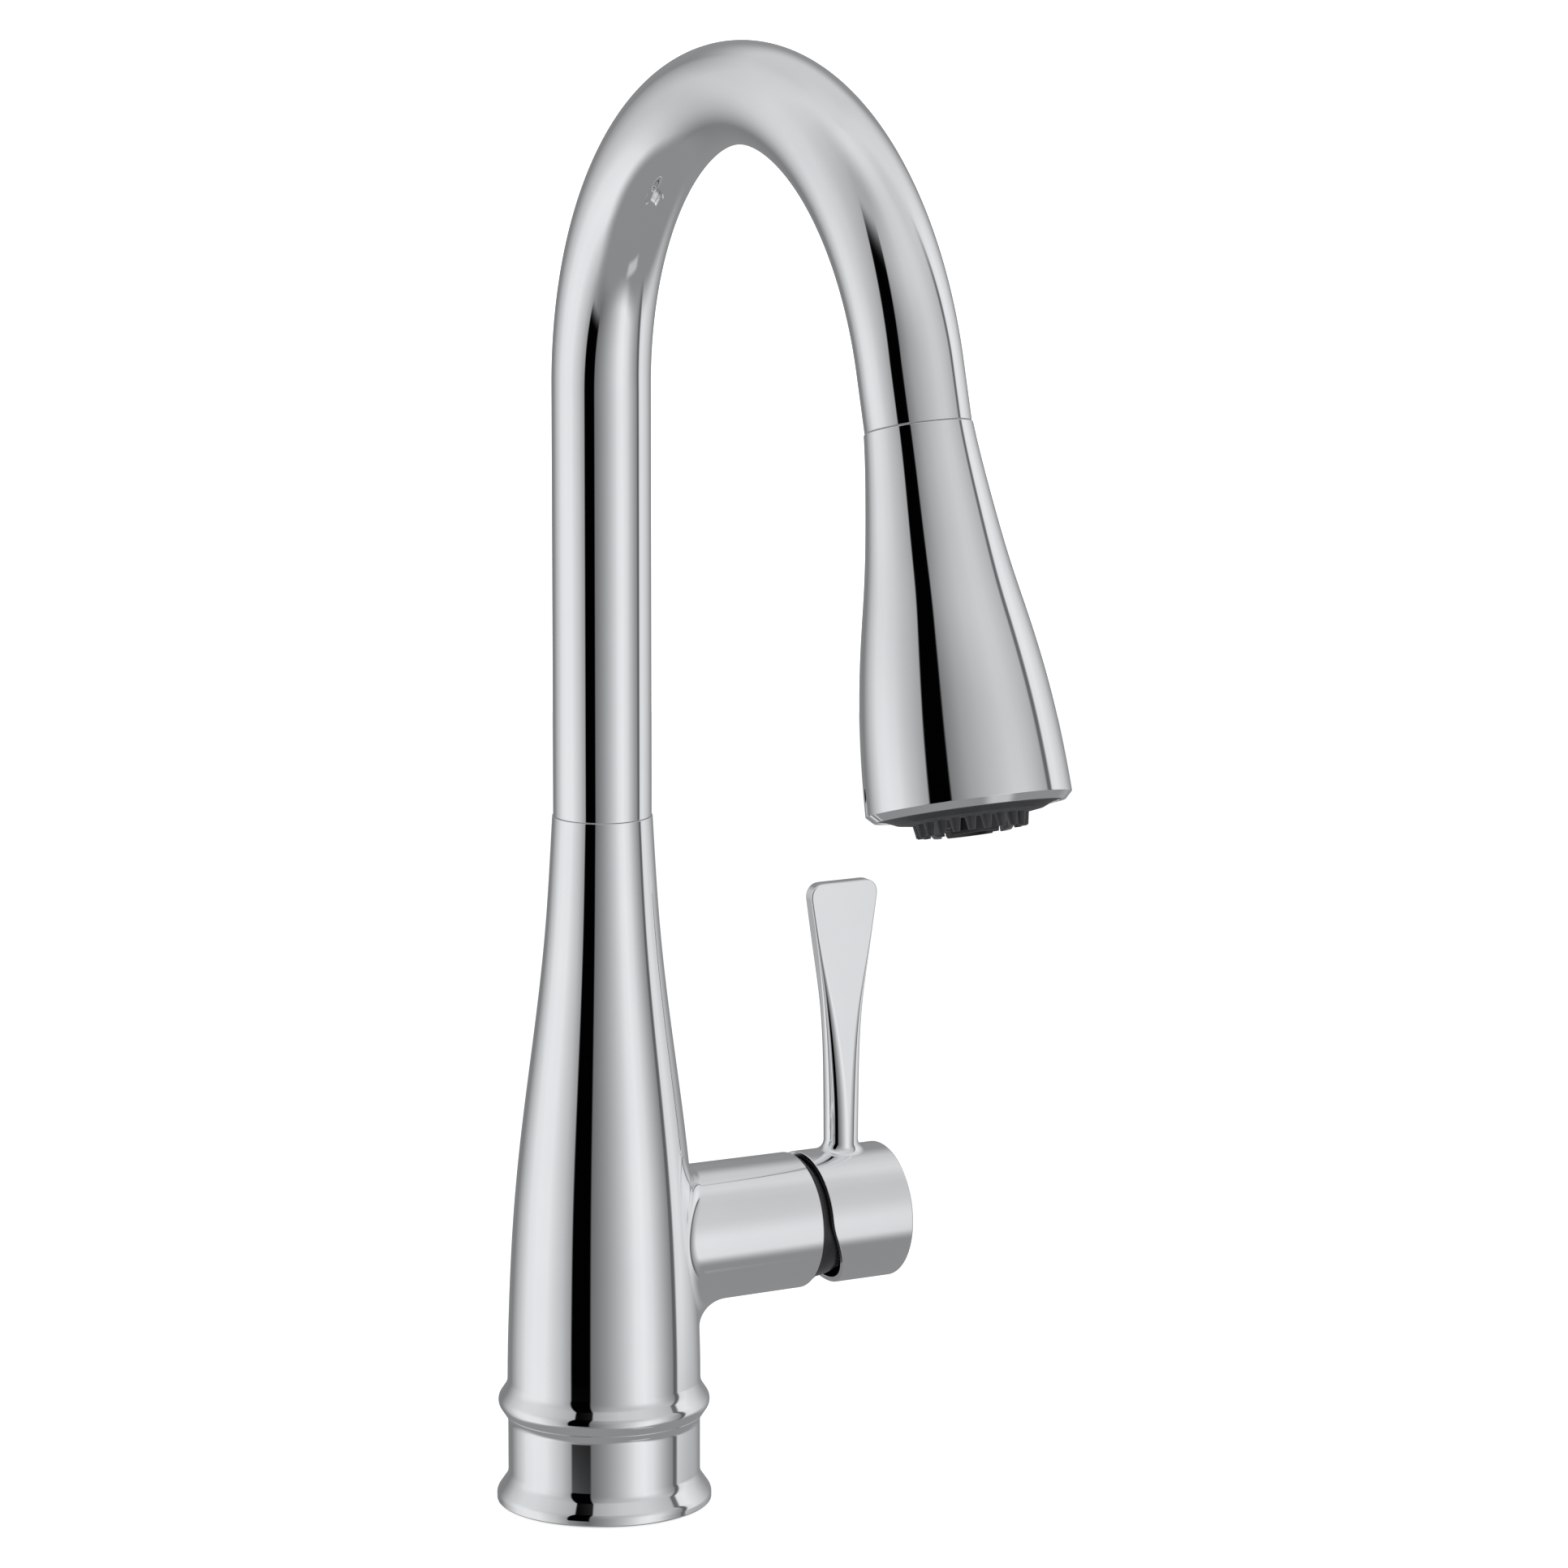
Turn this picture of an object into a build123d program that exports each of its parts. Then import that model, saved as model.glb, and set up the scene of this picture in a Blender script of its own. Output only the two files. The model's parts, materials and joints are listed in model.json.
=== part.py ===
from build123d import *
import os
from math import cos, radians, sin, tan

# Pull-down kitchen faucet, in millimetres.
# Origin: centre of the deck hole on the deck's surface. +Z up, spout towards -Y, handle towards +X.

os.makedirs("parts", exist_ok=True)

# ---------------------------------------------------------------- driving dimensions
# Neck
TUBE_R = 12.7
TUBE_WALL = 1.2
ARCH_Z = 293.9
ARCH_R = 80.1
ARCH_SWEEP = 164.0
OUTLET_RUN = 14.8
SEAM_GAP = 0.3

# Base and body
FOOT_R = 28.05
WAIST_R = 25.1
BEAD_R = 28.2
BEAD_Z = 27.1
BEAD_SLOPE = 0.66
RING_TOP_Z = 24.0
BODY_TOP_Z = 182.5
BODY_TOP_R = 12.95
SKIRT_R = 22.4
FLOOR_BOTTOM_Z = 1.7
FLOOR_TOP_Z = 12.0
SPOUT_BORE_R = 11.6
SPOUT_BORE_Z = 140.0

# Under the deck
SHANK_R = 17.0
SHANK_BORE_R = 15.5
SHANK_END_Z = -66.0
DECK_THICKNESS = 33.0
TAIL_R = 4.0
TAIL_BORE_R = 3.1
TAIL_RING_R = 11.3
TAIL_SPREAD = 50.0
TAIL_END_Z = -95.0
TAIL_NIPPLE_R = 4.3
TAIL_NIPPLE_LENGTH = 12.0

# Side arm and valve, along +X at this height
ARM_Z = 68.4
ARM_R = 18.0
ARM_END_X = 55.9
ARM_FILLET = 6.5
CHAMBER_R = 14.05
CHAMBER_FLOOR_X = 34.0
NUT_BORE_R = 15.3
NUT_BORE_X = 46.0
PIVOT_X = 59.0
PORT_RING_R = 6.0
PORT_R = 1.8
PORT_ANGLES = {"hot": 30.0, "cold": 150.0, "mixed": 270.0}

# Handle
HUB_R = 17.9
HUB_BORE_R = 16.4
HUB_RIM_X = 58.85
HUB_END_X = 83.0
HUB_END_WALL = 2.5
RIM_SLANT = 22.5
LEVER_X = 70.8
LEVER_TOP_Z = 158.4
LEVER_CORNER_R = 4.2
ROOT_R = 4.56
ROOT_FILLET = 2.6
ROOT_TOP_Z = 89.2
STEM_HALF = 3.5
BALL_X = 49.6
BALL_R = 2.5
SET_SCREW_X = 75.6

# Hose
HOSE_R = 6.0
HOSE_BORE_R = 4.2
HOSE_END_Z = -60.0
LEAD_START = 32.0
LEAD_END = 14.0
FERRULE_R = 7.3

# Spray head, measured down its own axis from the seam
HEAD_LENGTH = 88.7
HEAD_RIM_R = 24.3
HEAD_CHAMFER = 1.7
FACE_R = 21.9
SPIGOT_R = 9.4
SPIGOT_LENGTH = 11.0
NOZZLE_COUNT = 21
NOZZLE_RING_R = 12.35
ROCKER_W = 34.0
ROCKER_LENGTH = 25.0
ROCKER_WIDTH = 11.0
ROCKER_PIN_Y = 11.6
ROCKER_REST_TILT = -5.0
SPOOL_Y = 5.5
SPOOL_R = 3.0

RUNNING = 0.05


# ---------------------------------------------------------------- helpers
def turned(points, radii=None):
    """Solid of revolution about Z. points are (r, z); radii round the corners in the same order."""
    corners = [(r, 0, z) for r, z in points]
    if radii is None:
        outline = Polyline(*corners, close=True)
    else:
        outline = FilletPolyline(*corners, radius=radii, close=True)
    return revolve(make_face(outline), Axis.Z)


def rod(radius, z0, z1):
    """Solid cylinder on the Z axis from z0 to z1."""
    return Pos(0, 0, min(z0, z1)) * Cylinder(radius, abs(z1 - z0), align=(Align.CENTER, Align.CENTER, Align.MIN))


def ring(inner, outer, z0, z1):
    """Plain ring on the Z axis from z0 to z1."""
    return rod(outer, z0, z1) - rod(inner, min(z0, z1) - 1, max(z0, z1) + 1)


def bar(x0, x1, y0, y1, z0, z1):
    """Box between two corners."""
    size = Box(x1 - x0, y1 - y0, z1 - z0, align=(Align.MIN, Align.MIN, Align.MIN))
    return Pos(x0, y0, z0) * size


def o_ring(pitch_radius, section_radius, z):
    """Seal with a round section."""
    return Pos(0, 0, z) * Torus(pitch_radius, section_radius)


def on_arm(shape):
    """Lays a piece built along +Z onto the arm: its z becomes x, measured from the body's axis."""
    return Pos(0, 0, ARM_Z) * Rot(0, 90, 0) * shape


OUTLET_TILT = 180.0 - ARCH_SWEEP
OUTLET_DIR = Vector(0, -sin(radians(OUTLET_TILT)), -cos(radians(OUTLET_TILT)))
ARCH_CENTRE = Vector(0, -ARCH_R, ARCH_Z)


def arch_point(angle):
    """Point on the neck's centreline, by its angle around the arch."""
    turn = radians(angle)
    return ARCH_CENTRE + Vector(0, ARCH_R * cos(turn), ARCH_R * sin(turn))


SEAM_POINT = arch_point(ARCH_SWEEP) + OUTLET_DIR * OUTLET_RUN


def on_outlet(shape):
    """Hangs a piece built along -Z from the origin below the seam, on the outlet's axis."""
    return Pos(*SEAM_POINT) * Rot(-OUTLET_TILT, 0, 0) * shape


def save(name, *solids):
    """Writes one node. Several solids go out as one group."""
    shape = solids[0] if len(solids) == 1 else Compound(children=list(solids))
    shape.label = name
    export_step(shape, f"parts/{name}.step")


# ---------------------------------------------------------------- base, body and deck fixing
def bead_radius(z):
    """Radius of the bead's straight flank at a height, before its corners are rounded."""
    return BEAD_R - BEAD_SLOPE * abs(z - BEAD_Z)


def make_base_ring():
    """Foot, waist and lower flank of the bead."""
    flank_start = BEAD_Z - (BEAD_R - WAIST_R) / BEAD_SLOPE
    points = [
        (SKIRT_R + RUNNING, 1.6),
        (26.3, 1.6),
        (26.3, 0.3),
        (FOOT_R, 0.3),
        (FOOT_R + 0.05, 2.7),
        (WAIST_R, 7.06),
        (WAIST_R, flank_start),
        (bead_radius(RING_TOP_Z), RING_TOP_Z),
        (SKIRT_R + RUNNING, RING_TOP_Z),
    ]
    return turned(points, [0, 0, 0, 0.5, 2.8, 4.5, 3.5, 0, 0])


def body_outline():
    """Outer half section of the body: bead top, long bell and the seam with the neck."""
    shoulder_z = BEAD_Z + (BEAD_R - 25.25) / BEAD_SLOPE
    bead = FilletPolyline(
        (SKIRT_R, 0, FLOOR_BOTTOM_Z),
        (SKIRT_R, 0, RING_TOP_Z),
        (bead_radius(RING_TOP_Z), 0, RING_TOP_Z),
        (BEAD_R, 0, BEAD_Z),
        (25.25, 0, shoulder_z),
        (25.2, 0, 36.0),
        radius=[0, 0, 2.9, 5.0],
    )
    bell = Spline(
        (25.2, 0, 36.0),
        (24.85, 0, 50.0),
        (23.2, 0, 80.0),
        (20.68, 0, 104.0),
        (17.56, 0, 128.0),
        (14.92, 0, 152.0),
        (BODY_TOP_R, 0, BODY_TOP_Z),
        tangents=[(-0.01, 0, 1), (-0.055, 0, 1)],
    )
    inside = Polyline(
        (BODY_TOP_R, 0, BODY_TOP_Z),
        (0, 0, BODY_TOP_Z),
        (0, 0, FLOOR_BOTTOM_Z),
        (SKIRT_R, 0, FLOOR_BOTTOM_Z),
    )
    return make_face([bead, bell, inside])


def make_body():
    """Body casting with the side arm, the cast-in valve block and its drilled passages."""
    bell = revolve(body_outline(), Axis.Z)
    arm = on_arm(turned([(0, 0), (ARM_R + 0.25, 0), (ARM_R, ARM_END_X), (0, ARM_END_X)], [0, 0, 0.35, 0]))
    outside = bell + arm
    joint_edges = [e for e in outside.edges() if is_arm_joint(e)]
    outside = fillet(joint_edges, ARM_FILLET)

    hollow = turned(
        [
            (0, FLOOR_BOTTOM_Z - 1),
            (SHANK_R + 0.03, FLOOR_BOTTOM_Z - 1),
            (SHANK_R + 0.03, FLOOR_TOP_Z),
            (19.8, FLOOR_TOP_Z + 1),
            (22.3, 34),
            (22.0, 54),
            (20.5, 80),
            (18.0, 104),
            (14.8, 128),
            (13.1, SPOUT_BORE_Z),
            (SPOUT_BORE_R, SPOUT_BORE_Z),
            (SPOUT_BORE_R, BODY_TOP_Z + 1),
            (0, BODY_TOP_Z + 1),
        ]
    )
    block = bar(1.5, 30, -14, 14, 48, 85)
    hose_way = rod(6.8, 40, 90)
    body = outside - (hollow - block) - hose_way
    body -= on_arm(rod(CHAMBER_R, CHAMBER_FLOOR_X, ARM_END_X + 1))
    body -= on_arm(rod(NUT_BORE_R, NUT_BORE_X, ARM_END_X + 1))
    for side, (x, y) in tail_places().items():
        port_y, port_z = port_place(side)
        body -= Pos(x, y, 0) * rod(TAIL_R + 0.02, 47, 58)
        body -= Pos(x, y, 0) * rod(2.8, 57, ARM_Z + port_z + 2.8)
        body -= on_arm(Pos(-port_z, port_y, 0) * rod(PORT_R + 0.2, x, CHAMBER_FLOOR_X + 1))
    return body


def is_arm_joint(edge):
    """True for the curve where the arm meets the bell."""
    box = edge.bounding_box()
    inside_arm = box.max.Z < ARM_Z + 22 and box.min.Z > ARM_Z - 22
    return inside_arm and box.min.X > 10 and box.max.X < 30 and box.size.Y > 15


def tail_places():
    """Where the three tails stand, as (x, y) in the shank."""
    return {
        "hot": (TAIL_RING_R * cos(radians(TAIL_SPREAD)), TAIL_RING_R * sin(radians(TAIL_SPREAD))),
        "cold": (TAIL_RING_R * cos(radians(TAIL_SPREAD)), -TAIL_RING_R * sin(radians(TAIL_SPREAD))),
        "mixed": (TAIL_RING_R, 0.0),
    }


def port_place(side):
    """Where a valve port lies, as (y, height above the arm's axis)."""
    angle = radians(PORT_ANGLES[side])
    return PORT_RING_R * cos(angle), PORT_RING_R * sin(angle)


def make_tail(side):
    """Copper tail brazed into the valve block, with a turned nipple at its lower end."""
    x, y = tail_places()[side]
    tube = rod(TAIL_R, TAIL_END_Z, 58) + rod(TAIL_NIPPLE_R, TAIL_END_Z, TAIL_END_Z + TAIL_NIPPLE_LENGTH)
    return Pos(x, y, 0) * (tube - rod(TAIL_BORE_R, TAIL_END_Z - 1, 59))


def make_shank():
    """Threaded shank, with the thread's relief groove at its end."""
    return ring(SHANK_BORE_R, SHANK_R, SHANK_END_Z, FLOOR_TOP_Z)


def make_mounting_nut(top):
    """Round nut with three clamping screws and spanner flats."""
    nut = ring(SHANK_R + 0.03, 25.5, top - 12, top)
    for angle in (0, 120, 240):
        nut -= Rot(0, 0, angle) * Pos(21.3, 0, 0) * rod(2.5, top - 13, top + 1)
        nut -= Rot(0, 0, angle + 60) * bar(23.5, 27, -12, 12, top - 13, top + 1)
    return nut


def make_nut_screw(angle, top):
    """Socket-head clamping screw: it bears on the steel washer."""
    screw = rod(2.48, top - 14, top) + rod(4.2, top - 18, top - 14)
    socket = extrude(Pos(0, 0, top - 18) * RegularPolygon(2.3, 6), 2.6)
    return Rot(0, 0, angle) * Pos(21.3, 0, 0) * (screw - socket)


# ---------------------------------------------------------------- neck, its bearing and the hose
def neck_path(first_z, last_angle, run):
    """Centreline from a height on the riser, round the arch and down the outlet."""
    riser = Line((0, 0, first_z), (0, 0, ARCH_Z))
    middle = arch_point(last_angle / 2)
    arch = ThreePointArc((0, 0, ARCH_Z), middle, arch_point(last_angle))
    lines = [riser, arch]
    if run > 0:
        start = arch_point(last_angle)
        lines.append(Line(start, start + OUTLET_DIR * run))
    return Wire([edge for line in lines for edge in line.edges()])


def pipe(outer, inner, path, start):
    """Round tube swept up from a horizontal start section."""
    section = Plane(start) * (Circle(outer) - Circle(inner))
    return sweep(section, path)


def make_neck():
    bottom = BODY_TOP_Z + 0.32
    path = neck_path(bottom, ARCH_SWEEP, OUTLET_RUN - SEAM_GAP)
    return pipe(TUBE_R, TUBE_R - TUBE_WALL, path, (0, 0, bottom))


def make_neck_stem():
    """Turned sleeve in the tube's lower end: it turns in the body's bore."""
    return turned(
        [
            (9.0, 134),
            (10.2, 134),
            (10.2, 138.4),
            (9.7, 138.4),
            (9.7, 139.8),
            (10.2, 139.8),
            (10.2, BODY_TOP_Z + 0.4),
            (11.45, BODY_TOP_Z + 0.4),
            (11.45, 206),
            (9.0, 206),
        ]
    )


def make_retaining_clip():
    """Open spring clip in the stem's groove, under the bore's shoulder."""
    return ring(9.75, 12.4, 138.5, 139.7) - bar(0, 20, -4, 4, 137, 141)


def hose_lead_angle():
    """Angle round the arch at which the hose's moving stretch starts."""
    return ARCH_SWEEP - (LEAD_START - OUTLET_RUN) / ARCH_R * 180 / 3.141592653589793


def make_hose():
    path = neck_path(HOSE_END_Z, hose_lead_angle(), 0)
    return pipe(HOSE_R, HOSE_BORE_R, path, (0, 0, HOSE_END_Z))


def make_hose_lead():
    """The stretch between the hose in the neck and the ferrule."""
    a0, a1 = hose_lead_angle(), ARCH_SWEEP
    start, end = arch_point(a0), arch_point(a1)
    arch = ThreePointArc(start, arch_point((a0 + a1) / 2), end)
    run = Line(end, end + OUTLET_DIR * (OUTLET_RUN - LEAD_END))
    path = Wire([*arch.edges(), *run.edges()])
    section = Plane(origin=start, z_dir=arch % 0) * (Circle(HOSE_R) - Circle(HOSE_BORE_R))
    return sweep(section, path)


def make_hose_plug():
    """Push-in plug at the hose's lower end."""
    return turned(
        [
            (3.0, HOSE_END_Z - 18),
            (5.0, HOSE_END_Z - 18),
            (5.0, HOSE_END_Z - 4),
            (6.6, HOSE_END_Z - 4),
            (6.6, HOSE_END_Z),
            (4.1, HOSE_END_Z),
            (4.1, HOSE_END_Z + 10),
            (3.0, HOSE_END_Z + 10),
        ]
    )


def make_ferrule():
    """Crimp sleeve and nipple on the hose's spray end, built along the outlet's axis."""
    return turned(
        [
            (3.0, -0.6),
            (6.2, -0.6),
            (6.2, 1.1),
            (5.0, 1.1),
            (5.0, 10.9),
            (FERRULE_R, 10.9),
            (FERRULE_R, 18.4),
            (HOSE_R + 0.15, 18.4),
            (HOSE_R + 0.15, LEAD_END - 0.1),
            (HOSE_BORE_R - 0.15, LEAD_END - 0.1),
            (HOSE_BORE_R - 0.15, 17.4),
            (3.0, 17.4),
        ]
    )


# ---------------------------------------------------------------- valve cartridge
def make_port_seal(side):
    y, z = port_place(side)
    return on_arm(Pos(-z, y, 0) * ring(2.1, 3.2, CHAMBER_FLOOR_X, CHAMBER_FLOOR_X + 1.2))


def drilled(shape, z0, z1):
    """Drills the three ports through a disc that stands on the arm's axis."""
    for side in PORT_ANGLES:
        y, z = port_place(side)
        shape -= Pos(-z, y, 0) * rod(PORT_R, z0, z1)
    return shape


def make_cartridge_base():
    base = rod(11.9, CHAMBER_FLOOR_X + 0.6, 40.0)
    for side in PORT_ANGLES:
        y, z = port_place(side)
        base -= Pos(-z, y, 0) * rod(3.25, CHAMBER_FLOOR_X, CHAMBER_FLOOR_X + 1.25)
    return on_arm(drilled(base, 33, 41))


def make_fixed_disc():
    return on_arm(drilled(rod(10.5, 40.02, 43.4), 39, 45))


def make_moving_disc():
    """Ceramic disc with the blind pocket that joins the ports."""
    pocket = Pos(3.0, 0, 0) * rod(4.8, 43, 45)
    return on_arm(rod(8.2, 43.42, 46.6) - pocket)


def make_disc_driver():
    return on_arm(rod(8.2, 46.62, 50.4) - rod(BALL_R + 0.25, 47.0, 51))


def make_cartridge_housing():
    return on_arm(
        turned(
            [
                (12.0, 34.6),
                (14.0, 34.6),
                (14.0, 36.8),
                (12.9, 36.8),
                (12.9, 39.2),
                (14.0, 39.2),
                (14.0, 47.4),
                (12.2, 47.4),
                (12.2, 58.4),
                (8.95, 58.4),
                (8.95, 57.1),
                (10.55, 57.1),
                (10.55, 50.6),
                (12.0, 50.6),
            ]
        )
    )


def make_carrier():
    """Turning part of the cartridge: two cheeks around the stem, with the pin's hole."""
    carrier = turned([(0, 50.75), (10.5, 50.75), (10.5, 57.0), (8.9, 57.0), (8.9, 63.0), (0, 63.0)])
    carrier -= bar(-6.4, 6.4, -STEM_HALF - 0.1, STEM_HALF + 0.1, 50, 64)
    groove = ring(9.5, 11.0, 53.0, 55.0)
    pin_hole = Pos(0, 0, PIVOT_X) * Rot(90, 0, 0) * Cylinder(1.27, 30)
    return on_arm(carrier - groove - pin_hole)


def make_pivot_pin():
    return on_arm(Pos(0, 0, PIVOT_X) * Rot(90, 0, 0) * Cylinder(1.25, 16.4))


def make_cartridge_stem():
    """Square stem, round neck and ball end, rocking on the pivot pin."""
    square = bar(-STEM_HALF, STEM_HALF, -STEM_HALF, STEM_HALF, 55.5, 79.5)
    neck = rod(1.9, BALL_X, 56)
    ball = Pos(0, 0, BALL_X) * Sphere(BALL_R)
    pin_hole = Pos(0, 0, PIVOT_X) * Rot(90, 0, 0) * Cylinder(1.25 + RUNNING, 30)
    return on_arm(square + neck + ball - pin_hole)


def make_retaining_nut():
    nut = ring(12.35, NUT_BORE_R - 0.03, 47.5, 54.0)
    for angle in (0, 90, 180, 270):
        nut -= Rot(0, 0, angle) * bar(13.3, 14.6, -1.5, 1.5, 51.5, 55)
    return on_arm(nut)


def make_bonnet():
    """Black dome over the cartridge, a ball zone about the handle's pivot."""
    outer = Pos(0, 0, PIVOT_X) * Sphere(15.8)
    zone = outer & rod(20, 57.3, 66.3)
    flange = rod(17.0, ARM_END_X + 0.05, 57.4)
    skirt = rod(NUT_BORE_R - 0.03, 54.1, ARM_END_X + 0.1)
    dome = zone + flange + skirt
    dome -= Pos(0, 0, PIVOT_X) * Sphere(14.6)
    dome -= rod(13.9, 53, 60)
    return on_arm(dome)


# ---------------------------------------------------------------- handle
def arc_or_line(start, middle, end):
    """Arc through three points, or a line where they are in line."""
    bend = (middle - start).cross(end - start).length
    return Line(start, end) if bend < 1e-6 else ThreePointArc(start, middle, end)


def section_of_eight(z, side_x, side_y, joints, corner):
    """Lever section with four sides and four corners, so that all its sections match piece by piece.

    side_x and side_y are the middles of the sides, corner the middle of a corner, and joints the
    two points of the first quarter where a side ends and a corner begins.
    """
    (jx, jy), (kx, ky) = joints
    cx, cy = corner
    quarter = [(jx, -jy), (side_x, 0), (jx, jy), (cx, cy), (kx, ky), (0, side_y), (-kx, ky), (-cx, cy)]
    places = quarter + [(-x, -y) for x, y in quarter]
    points = [Vector(LEVER_X + x, y, z) for x, y in places]
    points.append(points[0])
    pieces = [arc_or_line(*points[i : i + 3]) for i in range(0, 16, 2)]
    return make_face([edge for piece in pieces for edge in piece.edges()])


def round_section(z, radius):
    half_side = radius * sin(radians(4))
    reach = radius * cos(radians(4))
    diagonal = radius * cos(radians(45))
    joints = ((reach, half_side), (half_side, reach))
    return section_of_eight(z, radius, radius, joints, (diagonal, diagonal))


def flat_section(z, width, thickness, corner):
    x, y = width / 2, thickness / 2
    inset = corner * (1 - cos(radians(45)))
    joints = ((x, y - corner), (x - corner, y))
    return section_of_eight(z, x, y, joints, (x - inset, y - inset))


def make_lever():
    """Lever above its round root: it widens and flattens into a paddle with round corners."""
    sections = [
        round_section(ROOT_TOP_Z, ROOT_R),
        flat_section(98.0, 9.2, 8.9, 4.2),
        flat_section(112.0, 9.9, 7.2, 3.3),
        flat_section(125.0, 11.6, 5.4, 2.1),
        flat_section(140.0, 15.5, 4.2, 0.8),
        flat_section(LEVER_TOP_Z + 2, 21.6, 3.5, 0.5),
    ]
    lever = loft(sections)
    outline = FilletPolyline(
        (LEVER_X - 12, 0, 60),
        (LEVER_X + 12, 0, 60),
        (LEVER_X + 12, 0, 130),
        (LEVER_X + 10.35, 0, LEVER_TOP_Z),
        (LEVER_X - 10.35, 0, LEVER_TOP_Z),
        (LEVER_X - 12, 0, 130),
        radius=[0, 0, 0, LEVER_CORNER_R, LEVER_CORNER_R, 0],
        close=True,
    )
    return lever & extrude(make_face(outline), 12, both=True)


def make_handle():
    """Hub cup with the slanted rim, stem socket, screw boss and lever in one casting."""
    cup = on_arm(turned([(0, HUB_RIM_X), (HUB_R, HUB_RIM_X), (HUB_R, HUB_END_X), (0, HUB_END_X)], [0, 0, 0.5, 0]))
    outside = cup + Pos(LEVER_X, 0, 0) * rod(ROOT_R, ARM_Z + 12, ROOT_TOP_Z)
    outside = fillet([e for e in outside.edges() if is_lever_root(e)], ROOT_FILLET)
    outside += make_lever()
    inner_end = HUB_END_X - HUB_END_WALL
    hollow = rod(HUB_BORE_R, HUB_RIM_X - 1, inner_end)
    boss = rod(7.6, 72.0, inner_end + 1)
    screw_boss = Pos(0, 0, SET_SCREW_X) * Rot(0, 90, 0) * rod(4.2, 5.0, HUB_BORE_R + 0.6)
    handle = outside - on_arm(hollow - boss - screw_boss)
    socket = STEM_HALF + RUNNING
    handle -= on_arm(bar(-socket, socket, -socket, socket, 71, 79.7))
    screw_axis = Pos(0, 0, SET_SCREW_X) * Rot(0, 90, 0)
    handle -= on_arm(screw_axis * (rod(2.5, 3.0, HUB_R + 1) + rod(3.42, 14.8, HUB_R + 1)))
    return handle - rim_cutter()


def is_lever_root(edge):
    """True for the curve where the lever leaves the hub."""
    box = edge.bounding_box()
    near = abs(box.center().X - LEVER_X) < 3 and box.size.X < 12
    return near and ARM_Z + 15 < box.center().Z < ARM_Z + 19.5


def rim_cutter():
    """Takes the slanted lower half off the hub's rim, so that it clears the arm when tilted."""
    drop = 22.0
    slant = drop * tan(radians(RIM_SLANT))
    outline = FilletPolyline(
        (HUB_RIM_X - 3, 0, ARM_Z + 12),
        (HUB_RIM_X, 0, ARM_Z + 12),
        (HUB_RIM_X, 0, ARM_Z + 0.8),
        (HUB_RIM_X + slant, 0, ARM_Z + 0.8 - drop),
        (HUB_RIM_X - 3, 0, ARM_Z + 0.8 - drop),
        radius=[0, 0, 14.0, 0, 0],
        close=True,
    )
    return extrude(make_face(outline), 24, both=True)


def make_set_screw():
    screw = rod(2.47, STEM_HALF + 0.02, 11.5)
    socket = extrude(Pos(0, 0, 9.0) * RegularPolygon(1.4, 6), 3)
    return on_arm(Pos(0, 0, SET_SCREW_X) * Rot(0, 90, 0) * (screw - socket))


def make_screw_plug():
    """Button that hides the set screw, flush with the hub's round face."""
    button = on_arm(Pos(0, 0, SET_SCREW_X) * Rot(0, 90, 0) * rod(3.37, 14.85, HUB_R + 1))
    return button & on_arm(rod(HUB_R, HUB_RIM_X, HUB_END_X))


# ---------------------------------------------------------------- spray head, built along -Z from the seam
def head_outline():
    """Outer half section of the shell: slim at the seam, flared to the rim, with the rim's chamfer."""
    flare = Spline(
        (12.95, 0, 0),
        (14.8, 0, -17),
        (17.5, 0, -35),
        (19.9, 0, -47.5),
        (22.6, 0, -65),
        (HEAD_RIM_R, 0, -HEAD_LENGTH),
        tangents=[(0.075, 0, -1), (0.035, 0, -1)],
    )
    rest = Polyline(
        (HEAD_RIM_R, 0, -HEAD_LENGTH),
        (HEAD_RIM_R - HEAD_CHAMFER, 0, -HEAD_LENGTH - HEAD_CHAMFER),
        (0, 0, -HEAD_LENGTH - HEAD_CHAMFER),
        (0, 0, 0),
        (12.95, 0, 0),
    )
    return make_face([flare, rest])


def make_spray_shell():
    inside = turned(
        [
            (0, 1),
            (11.3, 1),
            (11.3, -3.2),
            (12.8, -17),
            (15.4, -35),
            (17.9, -47.5),
            (20.6, -65),
            (FACE_R, -80),
            (FACE_R, -92),
            (0, -92),
        ]
    )
    shell = revolve(head_outline(), Axis.Z) - inside
    return shell - rocker_prism(0.3, 0.75)


def rocker_prism(side_gap, end_gap):
    """Rounded slot shape on the head's rear face, larger than the rocker by its gaps."""
    width = ROCKER_WIDTH + 2 * side_gap
    length = ROCKER_LENGTH + 2 * end_gap
    outline = Plane.XZ * Pos(0, -ROCKER_W) * RectangleRounded(width, length, ROCKER_WIDTH / 2 - 0.5)
    return extrude(outline, -30)


def make_mode_rocker():
    """Rocker button that follows the shell, with pin ears and a finger into the spool's groove."""
    solid_head = revolve(head_outline(), Axis.Z)
    core = turned([(0, 1), (12.2, -18), (12.2, -50), (0, -51)])
    cap = (solid_head & rocker_prism(0, 0)) - core
    cap &= bar(-8, 8, ROCKER_PIN_Y + 1.2, 30, -60, 0)
    finger = bar(-1.6, 1.6, SPOOL_Y + 1.2, ROCKER_PIN_Y, -ROCKER_W - 0.7, -ROCKER_W + 0.7)
    block = bar(-4.6, 4.6, ROCKER_PIN_Y - 2.0, ROCKER_PIN_Y + 1.3, -ROCKER_W - 2.2, -ROCKER_W + 2.2)
    rocker = cap + finger + block
    rocker -= Pos(0, ROCKER_PIN_Y, -ROCKER_W) * Rot(0, 90, 0) * Cylinder(1.0 + RUNNING, 30)
    pivot = Pos(0, ROCKER_PIN_Y, -ROCKER_W)
    return pivot * Rot(ROCKER_REST_TILT, 0, 0) * Pos(0, -ROCKER_PIN_Y, ROCKER_W) * rocker


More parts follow.
